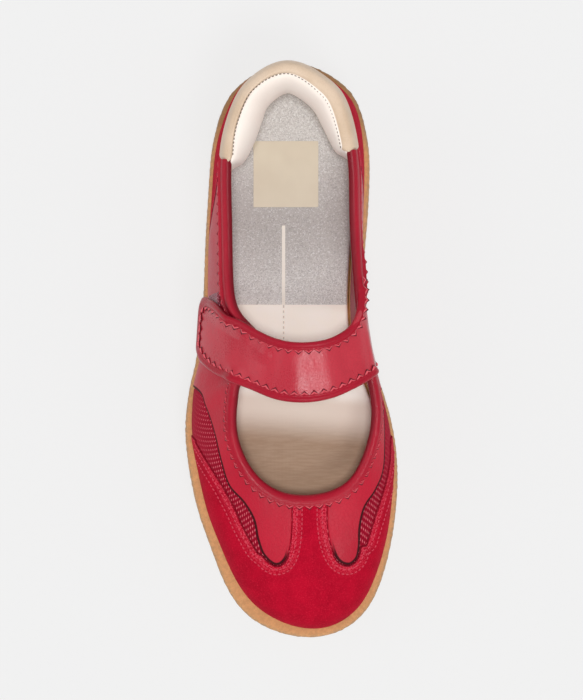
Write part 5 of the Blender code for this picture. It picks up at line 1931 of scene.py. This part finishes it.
class SNEAKER_OT_strap(ShoeOperator, bpy.types.Operator):
    """Builds the instep strap with its rolled and pinked edge"""

    bl_idname = "sneaker.strap"
    bl_label = "Strap"

    def build(self):
        surface = StrapSurface()
        outline = surface.outline(0.5 * MM)
        closed = np.vstack((outline, outline[-1] + (9 * MM, 0), outline[0] + (9 * MM, 0)))
        a = np.linspace(0, surface.length, 190)
        a, share = np.meshgrid(a, np.linspace(0, 1, 50), indexing="ij")
        flare = surface.flare(a)
        grid = (a, share * (surface.wide(a) + flare) - flare)
        inside = plan_distance(np.stack(grid, -1), closed)[0]
        thins = [surface.at_station(station) for station in STRAP_THINS]

        def place(a, b, lift):
            """The root lies down thin on the side panel."""
            root = smooth(*thins, a)
            return surface.place(a, b, lift * (1 - 0.45 * root) - ROOT_DROP * root)

        def relief(point, inside):
            x, y = point[:, 0] / MM, point[:, 1] / MM
            creases = np.zeros(len(x))
            for cx, lean, depth, wide in STRAP_CREASES:
                gap = (x - cx - lean * (y + 6)) / wide
                creases += depth * np.exp(-gap * gap)
            soft = ripple(point, 22 * MM, 21) * 0.10
            return (creases + soft) * MM * smooth(1 * MM, 6 * MM, inside)

        thick = STRAP - 0.15 * MM
        body = make_panel(
            "strap_body", grid, place, lambda point, normal: inside, -thick, thick,
            Shop.get("strap"), 0.5 * MM, relief,
            lambda point, inside: {"inked": np.zeros(len(point))},
        )
        put_on(body, "strap")
        self.edge(surface)

    def edge(self, surface):
        """The roll leaves the collar, follows the rear edge and the tip and ends on the root."""
        rear_end, front_end = (surface.at_station(station) for station in ROLL_ENDS)
        line = surface.outline(0.0, rear_end, front_end)
        flat = np.zeros(len(line))
        point, up = surface.place(*line.T, flat)
        middle = np.maximum(line[:, 0], 12 * MM), surface.wide(line[:, 0]) / 2
        inward = unit(surface.place(*middle, flat)[0] - point)
        tip = 1 - smooth(1 * MM, 13 * MM, line[:, 0])
        collar = over_topline(np.linspace(*ROLL_LEAVES, 8), -0.2 * MM, -0.9 * MM)
        lead = np.vstack((collar, np.array(ROLL_LEAD) * MM))
        early = np.hstack((lead, np.tile((*UP, 1.0, 0.0, 0.0, 0.0), (len(lead), 1))))
        values = np.vstack((early, np.hstack((point, up, inward, tip[:, None]))))
        length = reach_along(values[:, :3])
        places = np.linspace(0, length[-1], int(length[-1] / (0.6 * MM)))
        values = np.stack([np.interp(places, length, column) for column in values.T], 1)
        point, up, inward, tip = np.split(soften(values, 16), (3, 6, 9), axis=1)
        tip = tip[:, 0]
        ahead = unit(np.gradient(point, axis=0))
        up = unit(up - ahead * (up * ahead).sum(1)[:, None])
        side = np.cross(up, ahead)
        side *= np.sign((side * inward).sum(1))[:, None]

        profile = looped(np.array(STRAP_EDGE_SECTION) * MM, 1.5)
        middle = np.array((0.5, -0.4)) * MM
        count = np.arange(len(point))
        start, end = np.interp(count, (0, 12), (0.3, 1)), np.interp(count[::-1], (0, 8), (0.35, 1))
        sections = []
        for p, i, n, k, w in zip(point, side, up, np.minimum(start, end), tip):
            shape = (profile - middle) * k + middle
            wider = np.where(shape[:, 0] > 0, 1 + TIP_STRETCH * w, 1 + TIP_BULGE * w)
            sections.append(p + i * (shape[:, 0] * wider)[:, None] + n * shape[:, 1:])
        # Painted shade: the roll is darker underneath, and on its flank where it lies beside the
        # collar.
        under = np.tile(1 - smooth(-1.3 * MM, 0.1 * MM, profile[:, 1]), (len(point), 1))
        x, y = point[:, 0] / MM, point[:, 1] / MM
        beside = smooth(-35, -31, x) * (1 - smooth(-22, -18, x)) * (y > 6)
        flank = 1 - smooth(-0.5 * MM, 0.1 * MM, profile[:, 0])
        fields = {"worn": np.maximum(under, 1.5 * beside[:, None] * flank).ravel()}
        roll = loft("strap_edge", sections, False, Shop.get("trim"), fields=fields, sharp=70)
        put_on(roll)

        reach = (STRAP_EDGE_SECTION[0][0] - 0.05) * MM * (1 + TIP_STRETCH * tip)
        path = soften(point + side * reach[:, None] + up * TOOTH_SEAT, 4)
        cosine, sine = math.cos(TOOTH_TILT), math.sin(TOOTH_TILT)
        turned = path, up * cosine - side * sine, side * cosine + up * sine
        teeth("strap_teeth", [part[6:-4] for part in turned], 0.55 * MM)


class SNEAKER_OT_stitches(ShoeOperator, bpy.types.Operator):
    """Sews the double rows round the suede cap"""

    bl_idname = "sneaker.stitches"
    bl_label = "Stitching"

    def build(self):
        lobe_outer, lobe_inner = edge_line(LOBE_OUTER), edge_line(LOBE_INNER)
        # Each line goes from a wing's end along its edge and on round the lobe.
        outer = np.vstack((edge_line(WING_OUTER), lobe_outer[EDGE_STEPS * OUTER_TURN :]))
        inner = np.vstack((lobe_inner[: EDGE_STEPS * INNER_TURN + 1], edge_line(WING_INNER)))
        paths = []
        for line in (outer, inner):
            line = soften(evenly(line, 0.6 * MM), 6)
            for gap in (2.3, 4.6):
                row = soften(widen(line, -gap * MM), 4)
                u, t, miss = drop_onto_form(row, GAP + LEATHER, STITCHES_OVER)
                high = at_depth(u, np.full(u.shape, 5.2 * MM))
                keep = (miss < 0.1 * MM) & (t > 0.03) & (t < high) & (row[:, 1] < -45 * MM)
                paths.append(path_on_form(u[keep], t[keep], GAP + LEATHER + 0.08 * MM))
        stitch_rows("cap_stitches", paths, "thread")


class SNEAKER_PT_build(bpy.types.Panel):
    """Lists the sneaker's sizes, colours and building steps"""

    bl_idname = "SNEAKER_PT_build"
    bl_label = "Strap Sneaker"
    bl_space_type = "VIEW_3D"
    bl_region_type = "UI"
    bl_category = "Sneaker"

    def draw(self, context):
        look = context.scene.sneaker_look
        for key in SneakerLook.__annotations__:
            self.layout.prop(look, key)
        for step in STEPS:
            self.layout.operator(step.bl_idname)


STEPS = (
    SNEAKER_OT_stage,
    SNEAKER_OT_sole,
    SNEAKER_OT_insole,
    SNEAKER_OT_upper,
    SNEAKER_OT_cap,
    SNEAKER_OT_panels,
    SNEAKER_OT_counter,
    SNEAKER_OT_binding,
    SNEAKER_OT_heel,
    SNEAKER_OT_patch,
    SNEAKER_OT_strap,
    SNEAKER_OT_stitches,
)
CLASSES = (SneakerLook, *STEPS, SNEAKER_PT_build)


def register():
    for made in CLASSES:
        bpy.utils.register_class(made)
    bpy.types.Scene.sneaker_look = bpy.props.PointerProperty(type=SneakerLook)


def unregister():
    del bpy.types.Scene.sneaker_look
    for made in reversed(CLASSES):
        bpy.utils.unregister_class(made)


def main():
    register()
    for step in STEPS:
        space, name = step.bl_idname.split(".")
        getattr(getattr(bpy.ops, space), name)()


if __name__ == "__main__":
    main()
